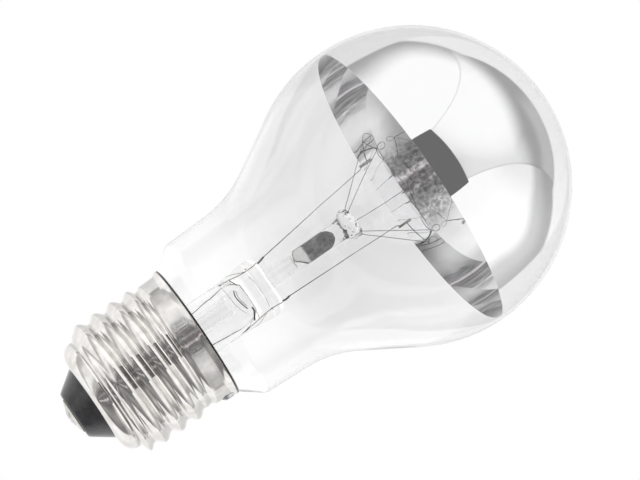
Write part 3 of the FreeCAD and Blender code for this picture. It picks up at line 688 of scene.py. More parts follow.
@dataclass
class Cap:
    """Screw cap: threaded shell, black glass insulator, contact, cement and the side wire's solder."""

    shop: Workshop
    bottom: float = 5.33
    mouth: float = 7.7
    flat: float = 0.8
    corner: float = 2.6
    skirt_rise: float = 0.2
    skirt_height: float = 0.5
    skirt_step: float = 0.65
    wall: float = 0.25
    hem: float = 0.06
    root: float = 12.05
    depth: float = 1.13
    pitch: float = 3.629
    first_crest: float = 10.58
    zone_bottom: float = 8.1
    zone_top: float = 22.8
    full_from: float = 9.4
    full_to: float = 21.4
    collar_bottom: float = 23.0
    collar_step_height: float = 1.0
    collar_step: float = 0.55
    collar_top: float = 26.9
    collar_flare: float = 0.12
    lip: float = 27.95
    lip_flare: float = 0.63
    wire_angle: float = -6.0
    steps: int = 144
    # The black glass: its eyelet hole and its tip
    hole: float = 0.85
    tip: float = 4.65
    tip_bottom: float = 1.1
    # The contact: radius of its dome's sphere, height of the dome's foot, radius of the wire's hole
    sphere: float = 8.78
    dome_bottom: float = 0.2
    eyelet: float = 0.45
    # The side wire's solder: its place, its half sizes and how lumpy it is
    solder_at: Point = (12.9, 26.35)
    solder_size: Point3 = (0.62, 0.85, 1.42)
    solder_lump: float = 0.16
    # The cement: its gap to the shell, its bottom, and where the envelope's cone ends on the neck
    gap: float = 0.05
    cement_bottom: float = 20.0
    neck: float = 11.3
    cone: float = 25.63
    cone_slope: float = 37.2

    def thread(self, angle: float, height: float) -> float:
        """How far the rolled thread stands out of its root.

        Args:
            angle: place round the axis in degrees from +X.
            height: height in millimetres.

        Returns:
            The distance in millimetres.
        """
        low = ease((height - self.zone_bottom) / (self.full_from - self.zone_bottom))
        high = ease((self.zone_top - height) / (self.zone_top - self.full_to))
        turns = (height - self.first_crest) / self.pitch - (angle - 180.0) / 360.0
        return self.depth * min(low, high) * (0.5 + 0.5 * math.cos(math.tau * turns))

    def shell_side(self) -> list[Point]:
        """Outer side of the shell without its thread.

        Returns:
            The points from the mouth up to the lip.
        """
        turn = self.bottom + self.corner
        skirt = self.mouth + self.flat + self.corner
        foot = (self.root, turn + self.skirt_height + self.skirt_step)
        collar = (self.root + self.collar_step, self.collar_bottom + self.collar_step_height)
        flare = (collar[0] + self.collar_flare, self.collar_top)
        points = [(self.mouth, self.bottom)]
        points += arc((self.mouth + self.flat, turn), self.corner, -90.0, 0.0, 12)
        points += [(skirt, turn + self.skirt_rise), (skirt, self.zone_bottom)]
        points += run(points[-1], foot, 6, ease)
        points += run(foot, (self.root, self.collar_bottom), 92)
        points += run(points[-1], collar, 6, ease)
        points += run(collar, flare, 4)
        return points + run(flare, (flare[0] + self.lip_flare, self.lip), 5, lambda share: share ** 1.3)

    def build_shell(self) -> None:
        """Spin the shell, roll the thread into it and give it its wall."""
        shell = lathe("threaded_shell", self.shell_side(), self.steps)
        for vertex in shell.data.vertices:
            angle = math.degrees(math.atan2(vertex.co.y, vertex.co.x))
            radius = math.hypot(vertex.co.x, vertex.co.y)
            out = 1.0 + self.thread(angle, vertex.co.z / MM) * MM / radius
            vertex.co.x *= out
            vertex.co.y *= out
        apply_modifier(shell, "SOLIDIFY", thickness=self.wall * MM, offset=-1.0)
        apply_modifier(shell, "BEVEL", width=self.hem * MM, segments=2, limit_method="ANGLE",
                       angle_limit=math.radians(60))
        settle(shell)
        self.shop.dress(shell, Finish.NICKEL, "cap_nickel", "screw_shell")

    def build_insulator(self) -> None:
        """Turn the black glass with its rounded tip edge and the hole for the contact's eyelet."""
        slope = (self.mouth - self.tip) / (self.bottom - self.tip_bottom)
        outline = [(self.hole, 7.6), (10.8, 7.6)]
        outline += arc((8.5, 7.93), 2.35, -8.0, -90.0, 8)
        outline += [(self.mouth, 5.58), (7.68, self.bottom), (7.5, 5.05)]
        outline += [(self.tip + slope * height, self.tip_bottom + height)
                    for height in (3.2, 2.4, 1.6, 0.9, 0.55)]
        outline += [(4.84, 1.4), (4.62, 1.17), (4.3, self.tip_bottom), (3.5, self.tip_bottom),
                    (self.hole, self.tip_bottom)]
        glass = lathe("black_insulator", outline, 96, closed=True)
        self.shop.dress(glass, Finish.BLACK_GLASS, "black_glass", "insulator")

    def dome(self, radius: float) -> Point:
        """Point of the contact's dome at a radius."""
        return radius, self.dome_bottom + self.sphere - math.sqrt(self.sphere ** 2 - radius * radius)

    def build_contact(self) -> None:
        """Turn the domed contact with its rolled rim, and the solder drop on it."""
        rim = (3.5, self.dome(3.5)[1] - 0.02)
        outline = [(self.eyelet, 2.6), (self.hole, 2.6), (self.hole, self.tip_bottom),
                   (3.42, self.tip_bottom), (3.53, 1.04), (3.55, 0.98), rim]
        outline += [self.dome(radius) for radius in (3.2, 2.7, 2.2, 1.7, 1.2, 0.8, self.eyelet)]
        plate = lathe("centre_contact_plate", outline, 72, closed=True)
        self.shop.dress(plate, Finish.TINNED, "contact_metal", "contact_plate")
        outline = [(0.0, 0.0), (0.5, 0.0), (0.7, 0.01), (1.0, 0.06), (1.35, 0.15), (1.65, 0.24), (1.86, 0.36)]
        outline += [self.dome(radius) for radius in (1.9, 1.2, self.eyelet)]
        outline += [(self.eyelet, 1.4), (0.0, 1.4)]
        drop = lathe("centre_solder", outline, 64)
        self.shop.dress(drop, Finish.SOLDER, "solder", "contact_solder")

    def build_side_solder(self) -> None:
        """Shape the solder drop on the lip, uneven where it has run."""
        deselect()
        angle = math.radians(self.wire_angle)
        seat, height = self.solder_at
        bpy.ops.mesh.primitive_ico_sphere_add(subdivisions=4, radius=MM, location=(0, 0, 0))
        drop = bpy.context.object
        drop.name = drop.data.name = "side_solder_drop"
        for vertex in drop.data.vertices:
            lump = 1.0 + self.solder_lump * noise.noise(vertex.co / MM * 1.6 + Vector((3.0, 1.0, 7.0)))
            vertex.co = Vector(self.solder_size) * vertex.co * lump
            vertex.co.rotate(Euler((0.0, 0.0, angle)))
            vertex.co += Vector((seat * math.cos(angle), seat * math.sin(angle), height)) * MM
        settle(drop)
        self.shop.dress(drop, Finish.SOLDER, "solder", "side_solder")

    def build_cement(self) -> None:
        """Turn the cement ring inside the collar, and the bead of resin that has crept up to the lip."""
        inside = self.root - self.wall - self.gap
        collar = inside + self.collar_step
        top = collar + self.collar_flare
        rim = top - self.gap
        rise = (rim - self.neck) / math.tan(math.radians(self.cone_slope))
        outline = [(self.neck + 0.02, self.cement_bottom), (inside, self.cement_bottom),
                   (inside, self.collar_bottom), (collar, self.collar_bottom + self.collar_step_height),
                   (top, self.collar_top - self.gap), (rim, self.cone + rise - 0.06),
                   (self.neck + 0.02, self.cone - 0.02)]
        ring = lathe("cement_ring", outline, 96, closed=True)
        self.shop.dress(ring, Finish.CEMENT, "cement", "basing_cement")
        bead = [(12.9, 27.68), (13.08, 27.9), (13.3, 27.62), (13.38, 27.8), (13.41, 27.97), (13.47, 28.1),
                (13.45, 28.22), (13.3, 28.2), (13.12, 27.98)]
        resin = lathe("lip_resin_bead", bead, self.steps, closed=True)
        self.shop.dress(resin, Finish.LIP_RESIN, "cement")

    def build(self) -> None:
        """Build every piece of the cap."""
        self.build_shell()
        self.build_insulator()
        self.build_contact()
        self.build_side_solder()
        self.build_cement()


@dataclass
class Mount:
    """Glass stem with its press, exhaust tube, arbor and button, and the slug in the arbor."""

    shop: Workshop
    axis: float = -0.6
    stem: float = 5.2
    stem_bore: float = 4.4
    flare: float = 10.8
    flare_bottom: float = 12.5
    flare_inside: float = 12.8
    press_top: float = 44.35
    exhaust: float = 2.0
    exhaust_bore: float = 1.2
    exhaust_top: float = 35.9
    arbor: float = 1.85
    arbor_bore: float = 1.2
    arbor_foot: float = 44.38
    arbor_inside_top: float = 50.25
    button_from: float = 60.5
    slug: float = 1.43
    # Below this height the slug's +X side is broken away, by this share of the way up
    break_top: float = 53.4
    break_share: float = 0.72
    # Its ends, below the first height and over the second, are lumpy by this much
    ends: Point = (52.5, 57.5)
    lump: float = 0.16

    def build_stem(self) -> None:
        """Draw the tube up from its flare and pinch its top flat, in rings pulled apart sideways."""
        outside = [(self.flare, self.flare_bottom), (self.flare, 13.3), (9.3, 14.6), (7.9, 16.0), (6.8, 17.4),
                   (6.0, 18.8), (5.5, 19.9), (5.25, 20.8)]
        outside += [(self.stem, height) for height in (22.0, 26.0, 32.0)]
        # Height of each ring, radius of its round ends, how far they are pulled apart
        pinch = [(33.1, 5.05, 0.12), (34.3, 4.75, 0.45), (35.5, 4.3, 0.95), (36.7, 3.75, 1.55),
                 (37.8, 3.2, 2.2), (38.8, 2.7, 2.8), (39.7, 2.32, 3.3), (40.6, 2.1, 3.65), (41.4, 2.02, 3.8),
                 (41.75, 2.0, 3.82), (41.9, 1.93, 3.86), (42.05, 2.0, 3.82), (43.2, 2.0, 3.75),
                 (43.9, 1.95, 3.25), (44.2, 1.8, 3.05), (self.press_top, 1.55, 2.95)]
        inside = [(0.0, 39.4), (0.15, 39.3), (0.5, 38.8), (1.1, 38.0), (1.8, 37.0), (2.5, 36.0), (3.2, 35.0),
                  (3.8, 34.0), (4.2, 33.0)]
        inside += [(self.stem_bore, height) for height in (32.0, 26.0, 22.0)]
        inside += [(4.5, 20.2), (4.9, 19.0), (5.5, 17.8), (6.4, 16.5), (7.6, 15.2), (9.0, 13.9),
                   (10.2, self.flare_inside)]
        hollow = {39.3: 2.6, 38.8: 2.7, 38.0: 2.6, 37.0: 2.15, 36.0: 1.6, 35.0: 1.0, 34.0: 0.45, 33.0: 0.1}
        outside += [(radius, height) for height, radius, _ in pinch] + [(0.0, self.press_top)]
        shell = lathe("stem_outside", outside, 96)
        self.pull_apart(shell, {height: pull for height, _, pull in pinch})
        cavity = lathe("stem_inside", inside, 96)
        self.pull_apart(cavity, hollow)
        edit(cavity)
        bpy.ops.mesh.flip_normals()
        stem = join("stem_glass", [shell, cavity])
        rims = (self.flare_bottom * MM, self.flare_inside * MM)

        def on_rim(edge: bpy.types.MeshEdge) -> bool:
            """Whether an edge runs round one of the flare's two rims."""
            low, high = (stem.data.vertices[index].co.z for index in edge.vertices)
            return abs(low - high) < 1e-7 and any(abs(low - rim) < 1e-7 for rim in rims)

        pick(stem, "edges", on_rim)
        bpy.ops.mesh.bridge_edge_loops()
        bpy.ops.mesh.select_all(action="SELECT")
        bpy.ops.mesh.normals_make_consistent(inside=False)
        settle(stem, 50.0)
        self.shop.dress(stem, Finish.MOUNT_GLASS, "mount_glass", "stem_press")

    @staticmethod
    def pull_apart(shape: Shape, pulls: dict[float, float]) -> None:
        """Pull each ring's two halves apart along X, which makes a flat oval of a circle.

        Args:
            shape: the turned mesh.
            pulls: height of a ring to the distance of each half, in millimetres.
        """
        for height, pull in pulls.items():
            for sign in (-1.0, 1.0):
                pick(shape, "vertices",
                     lambda vertex: abs(vertex.co.z - height * MM) < 5e-6 and vertex.co.x * sign > 1e-5)
                bpy.ops.transform.translate(value=(sign * pull * MM, 0, 0))
        deselect()

    def build_tubes(self) -> None:
        """Draw the exhaust tube with its closed tip, and the arbor with its melted button."""
        out, bore, top = self.exhaust, self.exhaust_bore, self.exhaust_top
        outline = [(0.0, 12.0), (0.6, 12.05), (1.2, 12.5), (1.7, 13.1), (out, 13.9), (out, 20.0), (out, 30.0),
                   (out, top), (bore, top), (bore, 30.0), (bore, 20.0), (bore, 14.6), (0.8, 14.0),
                   (0.0, 13.8)]
        tube = lathe("exhaust_tube_glass", outline, 48, x=self.axis)
        self.shop.dress(tube, Finish.MOUNT_GLASS, "mount_glass", "exhaust_tube")

        out, bore, top = self.arbor, self.arbor_bore, self.arbor_inside_top
        outline = [(0.0, top), (bore, top), (bore, 46.5), (bore, self.arbor_foot), (1.75, self.arbor_foot),
                   (1.9, 44.7), (out, 45.4), (out, 50.0), (out, 55.0), (out, 59.4), (1.92, 60.0),
                   (2.04, 60.6), (2.2, 61.15)]
        outline += arc((1.62, 62.85), 1.42, -58.0, 70.0, 12)
        outline += [(1.5, 64.3), (0.8, 64.4), (0.0, 64.42)]
        arbor = lathe("arbor_outside", outline, 56, x=self.axis)
        self.wrinkle(arbor)
        settle(arbor)
        self.shop.dress(arbor, Finish.MOUNT_GLASS, "mount_glass", "arbor_tube")
        arbor.data.materials.append(self.shop.get(Finish.MELTED_GLASS))
        for face in arbor.data.polygons:
            face.material_index = int(face.center.z > self.button_from * MM)

    def wrinkle(self, arbor: Shape, start: float = 60.3, reach: float = 1.2, core: float = 1.3,
                swell: float = 0.16, lift: float = 0.22) -> None:
        """Push the melted button's skin in and out.

        Args:
            arbor: the turned tube with its button.
            start: height from which it is melted, in millimetres.
            reach: height over which the wrinkles come in.
            core: radius within which the skin stays.
            swell: how far it moves outwards, as a share of the radius.
            lift: how far it moves up or down.
        """
        for vertex in arbor.data.vertices:
            height = vertex.co.z / MM
            across = Vector((vertex.co.x - self.axis * MM, vertex.co.y, 0.0))
            if height > start and across.length > core * MM:
                lump = noise.noise(vertex.co / MM * 0.9 + Vector((5.0, 2.0, 1.0)))
                share = min((height - start) / reach, 1.0)
                vertex.co += across * (swell * lump * share)
                vertex.co.z += lift * MM * share * (noise.noise(vertex.co / MM * 1.3) - 0.4)

    def build_folds(self) -> None:
        """Lay the thin scorched folds that the pinch left in the glass."""
        # Radius of each fold, then its points
        folds = [
            (0.11, (-2.4, -1.6, 37.62), (-1.9, -1.7, 37.32), (-1.0, -1.8, 37.2), (0.1, -1.8, 37.42),
             (1.0, -1.7, 37.68), (1.65, -1.6, 37.9)),
            (0.05, (-2.2, -1.5, 37.95), (-1.6, -1.6, 37.7), (-0.8, -1.6, 37.6), (0.2, -1.6, 37.8),
             (1.2, -1.5, 38.1)),
            (0.1, (-4.1, -0.5, 38.2), (-3.5, -0.6, 38.5), (-2.9, -0.7, 38.78)),
            (0.17, (1.9, -1.5, 38.75), (2.5, -1.4, 38.9), (3.1, -1.2, 38.45), (3.9, -0.8, 37.95)),
            (0.05, (2.7, -1.2, 38.95), (3.4, -1.0, 39.15), (4.1, -0.8, 38.9)),
            (0.03, (-5.0, -0.6, 36.1), (-3.0, -1.6, 36.4), (-0.5, -2.0, 36.3), (1.5, -1.9, 36.8),
             (2.3, -1.6, 37.3)),
            (0.03, (-4.9, -0.4, 36.9), (-4.1, -0.6, 37.3), (-3.7, -0.8, 38.2)),
            (0.04, (-5.0, 0.0, 38.0), (-4.65, 0.0, 39.5), (-4.2, 0.0, 41.1)),
            (0.035, (5.0, 0.0, 37.4), (4.7, 0.0, 38.5), (4.2, 0.0, 40.6)),
            (0.04, (-3.0, -1.6, 41.6), (-1.5, -1.7, 41.9), (0.0, -1.7, 42.0), (2.0, -1.7, 41.9),
             (3.7, -1.5, 41.7)),
            (0.14, (3.95, -0.3, 41.85), (4.4, -0.3, 42.0)),
            (0.12, (-4.5, -0.3, 41.85), (-4.25, -0.3, 41.95)),
            (0.12, (-4.25, -0.3, 41.15), (-4.1, -0.3, 41.3)),
        ]
        whole = join("press_folds", [wire(f"press_fold_{number}", line, radius, smooth=len(line) > 2)
                                     for number, (radius, *line) in enumerate(folds)])
        settle(whole)
        self.shop.dress(whole, Finish.SCORCH, "seal_wire")

    def build_slug(self) -> None:
        """Turn the slug fused in the tube, rounded above and broken off askew below."""
        radius = self.slug
        outline = [(0.0, 50.45), (0.5, 50.5), (0.95, 50.75), (radius - 0.1, 51.1)]
        outline += [(radius, height) for height in (51.6, 53.2, 54.5, 56.0, 57.2)]
        outline += [(radius - 0.08, 57.8), (1.12, 58.4), (0.82, 58.85), (0.45, 59.2), (0.0, 59.28)]
        slug = lathe("arbor_slug", outline, 56, x=self.axis)
        for vertex in slug.data.vertices:
            across = (vertex.co.x - self.axis * MM) / (radius * MM)
            height = vertex.co.z / MM
            if height < self.break_top and across > 0.0:
                vertex.co.z = MM * (height + (self.break_top - height) * min(across, 1.0) * self.break_share)
            if height < self.ends[0] or height > self.ends[1]:
                vertex.co.z += self.lump * MM * noise.noise(vertex.co / MM * 1.4)
        settle(slug)
        self.shop.dress(slug, Finish.SLUG, "plug_dark", "vent_plug")

    def build(self) -> None:
        """Build every glass piece of the mount."""
        self.build_stem()
        self.build_folds()
        self.build_tubes()
        self.build_slug()


@dataclass
class Wires:
    """Leads, supports and the coiled filament on its ring."""

    shop: Workshop
    axis: float = -0.6
    ring: float = 11.5
    level: float = 73.7
    left_angle: float = 133.4
    sweep: float = 286.3
    supports: int = 5
    lead: float = 0.085
    stub: float = 0.18
    seal: float = 0.06
    outer: float = 0.09
    spacing: float = 4.1
    press_top: float = 44.35
    press_bottom: float = 36.7
    clamp: Point3 = (0.6, 0.48, 2.8)
    support: float = 0.06
    hook: float = 0.75
    hook_lift: float = 1.0
    hook_drift: float = 0.15
    hook_from: float = -80.0
    hook_turn: float = 320.0
    bow: float = 0.25
    sag: float = 0.25
    coil: float = 0.075
    coil_wire: float = 0.026
    coil_pitch: float = 0.115
    coil_sides: int = 7
    # How far each support is bent out of its even place round the ring, in degrees
    bent: tuple[float, ...] = (0.0, -7.0, -4.5, 0.0, 0.0)

    def on_ring(self, number: int) -> Point:
        """Place of a support on the filament's ring, seen from above."""
        turn = math.radians(self.angle_of(number))
        return self.axis + self.ring * math.cos(turn), self.ring * math.sin(turn)

    def angle_of(self, number: int) -> float:
        """Angle of a support round the ring in degrees.

        Args:
            number: from 1; 0 and one past the last support are the leads.

        Returns:
            The angle from +X.
        """
        even = self.left_angle + self.sweep / (self.supports + 1) * number
        return even + (self.bent[number - 1] if 1 <= number <= self.supports else 0.0)

    def build_leads(self) -> None:
        """Bend the inner leads with their thicker feet and folded clamps."""
        bottom = self.level - 1.8
        for side, sign, number in (("left", -1, 0), ("right", 1, self.supports + 1)):
            foot = self.spacing * sign
            tip = self.on_ring(number)
            line = [(foot * 1.01, 0.0, self.press_top), (foot * 1.04, 0.1, self.press_top + 0.8),
                    (foot - 0.45, 0.35, 46.1) if sign < 0 else (foot, 0.2, 46.1),
                    (tip[0] - sign * 0.5, tip[1] - 0.25, bottom - 0.3), (*tip, bottom + 0.9)]
            body = wire(f"inner_lead_wire_{side}", line, self.lead)
            thick = wire(f"lead_foot_{side}", line[:3], self.stub)
            deselect()
            bpy.ops.mesh.primitive_cube_add(size=MM, location=(tip[0] * MM, tip[1] * MM, (bottom + 1.4) * MM))
            clamp = bpy.context.object
            clamp.name = clamp.data.name = f"lead_clamp_{side}"
            clamp.scale = self.clamp
            clamp.rotation_euler = (0.0, 0.0, math.atan2(tip[1], tip[0] - foot))
            bpy.ops.object.transform_apply(location=False, rotation=True, scale=True)
            apply_modifier(clamp, "BEVEL", width=0.1 * MM, segments=3)
            lead = join(f"inner_lead_wire_{side}", [body, thick, clamp])
            settle(lead)
            self.shop.dress(lead, Finish.NICKEL_WIRE, "nickel_wire", f"inner_lead_{side}")
            line = [(foot, 0.0, height) for height in (self.press_bottom, 40.0, self.press_top)]
            seal = wire(f"seal_copper_{side}", line, self.seal)
            self.shop.dress(seal, Finish.SEAL_COPPER, "seal_wire", f"seal_wire_{side}")

    def build_outer_leads(self) -> None:
        """Bend the two copper leads inside the stem and cap."""
        left = [(-4.1, 0.0, 36.65), (-4.05, 0.0, 35.9), (-3.85, 0.0, 35.0), (-3.6, 0.0, 32.0),
                (-3.15, 0.0, 29.4), (-3.1, 0.0, 22.0), (-3.1, 0.0, 13.5), (-2.9, 0.0, 12.2), (-0.2, 0.0, 7.8),
                (0.0, 0.0, 6.6), (0.0, 0.0, 1.45)]
        right = [(4.1, 0.0, 36.65), (4.2, 0.0, 35.8), (4.15, 0.02, 34.4), (3.95, 0.1, 32.5),
                 (3.65, 0.14, 29.5), (3.5, 0.14, 22.0), (3.5, 0.14, 14.2), (3.9, 0.06, 13.2),
                 (10.9, -1.12, 11.5), (11.52, -1.21, 11.9), (11.52, -1.21, 14.0), (11.52, -1.21, 24.8),
                 (11.6, -1.22, 25.5), (12.5, -1.36, 26.65)]
        for side, line in (("left", left), ("right", right)):
            lead = wire(f"outer_lead_wire_{side}", line, self.outer, smooth=True)
            self.shop.dress(lead, Finish.COPPER, "copper_wire", f"outer_lead_{side}")

    def support_line(self, number: int) -> list[Point3]:
        """Line of one support: straight out of the button, a slight bow, and a curl round the filament.

        Args:
            number: the support, from 1.

        Returns:
            The points in millimetres.
        """
        runs, curls = 9, 18
        bow = self.bow * math.sin(number * 2.3)
        start, end = (2.85, 63.8), (self.ring - 0.25, self.level - 0.15)
        # Radius, height and how far aside of each point
        line = [(2.2, 63.5, 0.0), (2.5, 63.7, 0.0), (*start, 0.0)]
        for index, (radius, height) in enumerate(run(start, end, runs), 1):
            line.append((radius, height, bow * math.sin(math.pi * index / runs)))
        for index in range(curls + 1):
            curl = math.radians(self.hook_from + self.hook_turn * index / curls)
            line.append((self.ring + 0.1 + self.hook * math.cos(curl),
                         self.level + self.hook_lift + self.hook * math.sin(curl),
                         self.hook_drift * index / curls))
        turn = math.radians(self.angle_of(number))
        return [(self.axis + radius * math.cos(turn) - aside * math.sin(turn),
                 radius * math.sin(turn) + aside * math.cos(turn), height) for radius, height, aside in line]

    def build_supports(self) -> None:
        """Bend the five supports."""
        for number in range(1, self.supports + 1):
            line = self.support_line(number)
            shape = wire(f"support_wire_curled_{number}", line, self.support, smooth=True)
            self.shop.dress(shape, Finish.MOLYBDENUM, "support_wire", f"support_wire_{number}")

    def build_filament(self) -> None:
        """Wind the filament as one fine coil, hung in slightly sagging runs from curl to curl."""
        corners = [self.on_ring(index) for index in range(self.supports + 2)]
        line: list[Point3] = []
        turn = 0.0
        for first, last in zip(corners, corners[1:]):
            length = math.dist(first, last)
            along = Vector((last[0] - first[0], last[1] - first[1], 0.0)) / length
            aside = Vector((-along.y, along.x, 0.0))
            count = int(length / self.coil_pitch * self.coil_sides)
            for share in (index / count for index in range(count)):
                sag = self.sag * math.sin(math.pi * share)
                middle = Vector((first[0], first[1], self.level - sag)) + along * (length * share)
                turn += math.tau / self.coil_sides
                line.append(tuple(middle + aside * (self.coil * math.cos(turn))
                                  + Vector((0, 0, self.coil * math.sin(turn)))))
        shape = wire("filament_coil", line, self.coil_wire, sides=0)
        self.shop.dress(shape, Finish.TUNGSTEN, "tungsten", "filament")

    def build(self) -> None:
        """Build every wire."""
        self.build_leads()
        self.build_outer_leads()
        self.build_supports()
        self.build_filament()


# Studio


@dataclass
class Tent(Graph):
    """Light tent that metal and glass show, drawn as tones by the direction that is looked in.

    Angles are in degrees: turn runs round from the front, plus to the right, and lift from level upwards.
    """

    way: Socket = field(init=False)
    across: Socket = field(init=False)
    turn: Socket = field(init=False)
    lift: Socket = field(init=False)
    aside: Socket = field(init=False)
    # Light of the top panel's far parts, the table, the camera opening and, as a share, of the seams
    dim: float = 0.38
    table_light: float = 0.92
    opening_light: float = 0.15
    seam_light: float = 0.8
    # Direction of the middle of each panel's outline, its radius, and the back paper's light
    left: Point3 = (-0.9884, -0.0944, -0.119)
    left_radius: float = 64.9
    right: Point3 = (0.9906, -0.1356, -0.0164)
    right_radius: float = 66.6
    paper: Point3 = (-0.0195, 0.6507, -0.7591)
    paper_radius: float = 110.8
    paper_light: float = 0.84
    # Width of the seams and half the width of their soft edges
    seam: float = 0.7
    soft: float = 0.25

    def __post_init__(self) -> None:
        """Work out the direction and its angles."""
        self.way = self.add("TexCoord", out="Generated")
        self.across, away, up = self.add("SeparateXYZ", self.way).node.outputs
        front = self.add("Math", away, -1.0, operation="MULTIPLY")
        self.turn, self.lift = [
            self.add("Math", angle, DEGREES, operation="MULTIPLY")
            for angle in (self.add("Math", self.across, front, operation="ARCTAN2"),
                          self.add("Math", up, operation="ARCSINE"))]
        self.aside = self.add("Math", self.turn, operation="ABSOLUTE")

    def about(self, centre: Point3, inner: float, outer: float) -> tuple[Socket, float, float]:
        """Step, for fade, from 0 outside a round area to 1 inside it.

        Args:
            centre: direction of its middle.
            inner: angle within which the step has ended.
            outer: angle beyond which it hasn't begun.

        Returns:
            The driving value and its two limits.
        """
        dot = self.add("VectorMath", self.way, Vector(centre).normalized(), operation="DOT_PRODUCT")
        return dot, math.cos(math.radians(outer)), math.cos(math.radians(inner))

    def square(self, value: Socket, size: float) -> Socket:
        """Square of the positive part of a value, in units of a size."""
        share = self.add("Math", self.add("Math", value, size, operation="DIVIDE"), 0.0, operation="MAXIMUM")
        return self.add("Math", share, share, operation="MULTIPLY")

    def top(self) -> Socket:
        """Top panel, brightest over the left shoulder, with a paler glow over the right one.

        Returns:
            Its light.
        """
        slope = self.add("VectorMath", self.way, (0.55, 0.84, 0.0), operation="DOT_PRODUCT")
        left = self.fade((*self.about((-0.36, -0.40, 0.84), 20.0, 60.0), self.dim, 1.0))
        left = self.add("Math", left, self.fade((slope, -0.2, 0.14, 1.0, self.dim)), operation="MINIMUM")
        right = self.fade((*self.about((0.27, -0.58, 0.77), 16.0, 40.0), self.dim, 0.8))
        light = self.add("Math", left, right, operation="MAXIMUM")
        # The rolled top of the back paper, seen on the right
        rolled = self.fade(self.about(self.paper, 122.0, 130.0), (self.across, -0.15, 0.05))
        return self.add("Mix", rolled, light, self.add("Math", light, 0.5, operation="MAXIMUM"))

    def panel(self, light: Socket, centre: Point3, radius: float, tone: object, *where: tuple) -> Socket:
        """Lay a round panel and the darker seam round it over the light.

        Args:
            light: the tent's light so far.
            centre: direction of the panel's middle.
            radius: its radius.
            tone: its light.
            where: steps, for fade, that limit what shows of it.

        Returns:
            The light with the panel.
        """
        shadow = self.add("Math", light, self.seam_light, operation="MULTIPLY")
        for reach, shade in ((radius + self.seam, shadow), (radius, tone)):
            area = self.fade(self.about(centre, reach - self.soft, reach + self.soft), *where)
            light = self.add("Mix", area, light, shade)
        return light

    def sides(self, light: Socket) -> Socket:
        """Side panels, white in front and grey towards the back, and the back paper between their ends.

        Args:
            light: the tent's light so far.

        Returns:
            The light with the panels.
        """
        leaned = self.add("Math", self.turn, self.fade((self.lift, 10.0, 42.0, 0.0, 22.0)), operation="ADD")
        left = self.fade((leaned, -110.0, -74.0, 0.4, 1.0))
        light = self.panel(light, self.left, self.left_radius, left)
        leaned = self.add("Math", self.turn, self.fade((self.lift, 12.0, 33.0, 8.5, 0.0)), operation="ADD")
        leaned = self.add("Math", leaned, self.fade((self.lift, 34.0, 50.0, 0.0, 5.0)), operation="ADD")
        right = self.fade((leaned, 83.0, 101.0, 1.0, 0.6), (leaned, 100.0, 122.0, 1.0, 0.74),
                          (self.lift, 38.0, 62.0, 1.0, 0.85))
        light = self.panel(light, self.right, self.right_radius, right)
        return self.panel(light, self.paper, self.paper_radius, self.paper_light, (self.aside, 125.0, 129.0))

    def back(self, light: Socket, sheet: float) -> Socket:
        """Lit sheet behind the bulb, and the table under it, nearly white.

        Args:
            light: the tent's light so far.
            sheet: the sheet's light.

        Returns:
            The light with both.
        """
        above = self.add("Math", self.lift, 10.0, operation="SUBTRACT")
        beside = self.add("Math", 150.0, self.aside, operation="SUBTRACT")
        reach = self.add("Math", self.square(above, 26.0), self.square(beside, 38.0), operation="ADD")
        light = self.add("Mix", self.fade((reach, 0.97, 1.03, 1.0, 0.0)), light, sheet)
        table = self.fade((self.lift, -6.0, -1.0, 1.0, 0.0), (self.aside, 98.0, 106.0))
        return self.add("Mix", table, light, self.table_light)

    def opening(self, light: Socket) -> Socket:
        """Dark camera opening in the tent's front, with its bowed top.

        Args:
            light: the tent's light so far.

        Returns:
            The light with the opening.
        """
        bowed = self.add("Math", self.lift, self.square(self.aside, 14.0), operation="ADD")
        hole = self.fade((self.turn, -27.1, -26.5), (self.turn, 21.2, 21.8, 1.0, 0.0),
                         (bowed, 27.4, 28.0, 1.0, 0.0))
        return self.add("Mix", hole, light, self.opening_light)

    def below(self) -> Socket:
        """Below the table's edge in front: pale at the sides, stands and cables in the middle.

        Returns:
            Its colour.
        """
        pale = self.add("ValToRGB", self.add("MapRange", self.turn, -100.0, 100.0), stops={
            0.0: "B8B8B8", 0.1: "CACACA", 0.15: "EFEFEF", 0.26: "F3F3F3", 0.3: "E4E4E4", 0.34: "CFCFCF",
            0.72: "D6D6D6", 0.8: "DADADA", 0.9: "BEBEBE", 1.0: "B4B4B4"})
        stands = self.add("ValToRGB", self.add("MapRange", self.turn, -60.0, 60.0), stops={
            0.13: "EAEAEA", 0.19: "DADADA", 0.24: "BEBEBE", 0.32: "C8C8C8", 0.345: "A8A8A8", 0.39: "828282",
            0.43: "767676", 0.465: "8C8B8C", 0.475: "ACAAAB", 0.49: "868485", 0.53: "6E6C6D", 0.555: "868384",
            0.57: "C4BFC1", 0.592: "C0BCBE", 0.61: "828182", 0.67: "7E7E7F", 0.71: "8C8C8C", 0.74: "A4A4A4",
            0.78: "B8B8B8", 0.83: "C4C4C4", 0.9: "D4D4D4"})
        clutter = self.add("TexNoise", Vector=self.way, Scale=20.0, Detail=4.0, Roughness=0.6)
        clutter = self.fade((clutter, 0.36, 0.66, 0.5, 1.4))
        clutter = self.add("Mix", self.fade((self.aside, 22.0, 40.0)), clutter, 1.0)
        fall = self.fade((self.lift, -25.0, -8.0, 0.46, 1.0))
        fall = self.add("Mix", self.fade((self.turn, 14.0, 34.0)), 1.0, fall)
        shade = self.add("Math", clutter, fall, operation="MULTIPLY")
        middle = self.fade((self.turn, -62.0, -48.0), (self.turn, 45.0, 62.0, 1.0, 0.0))
        under = self.add("Mix", middle, pale, stands, data_type="RGBA")
        return self.add("VectorMath", under, shade, operation="SCALE")

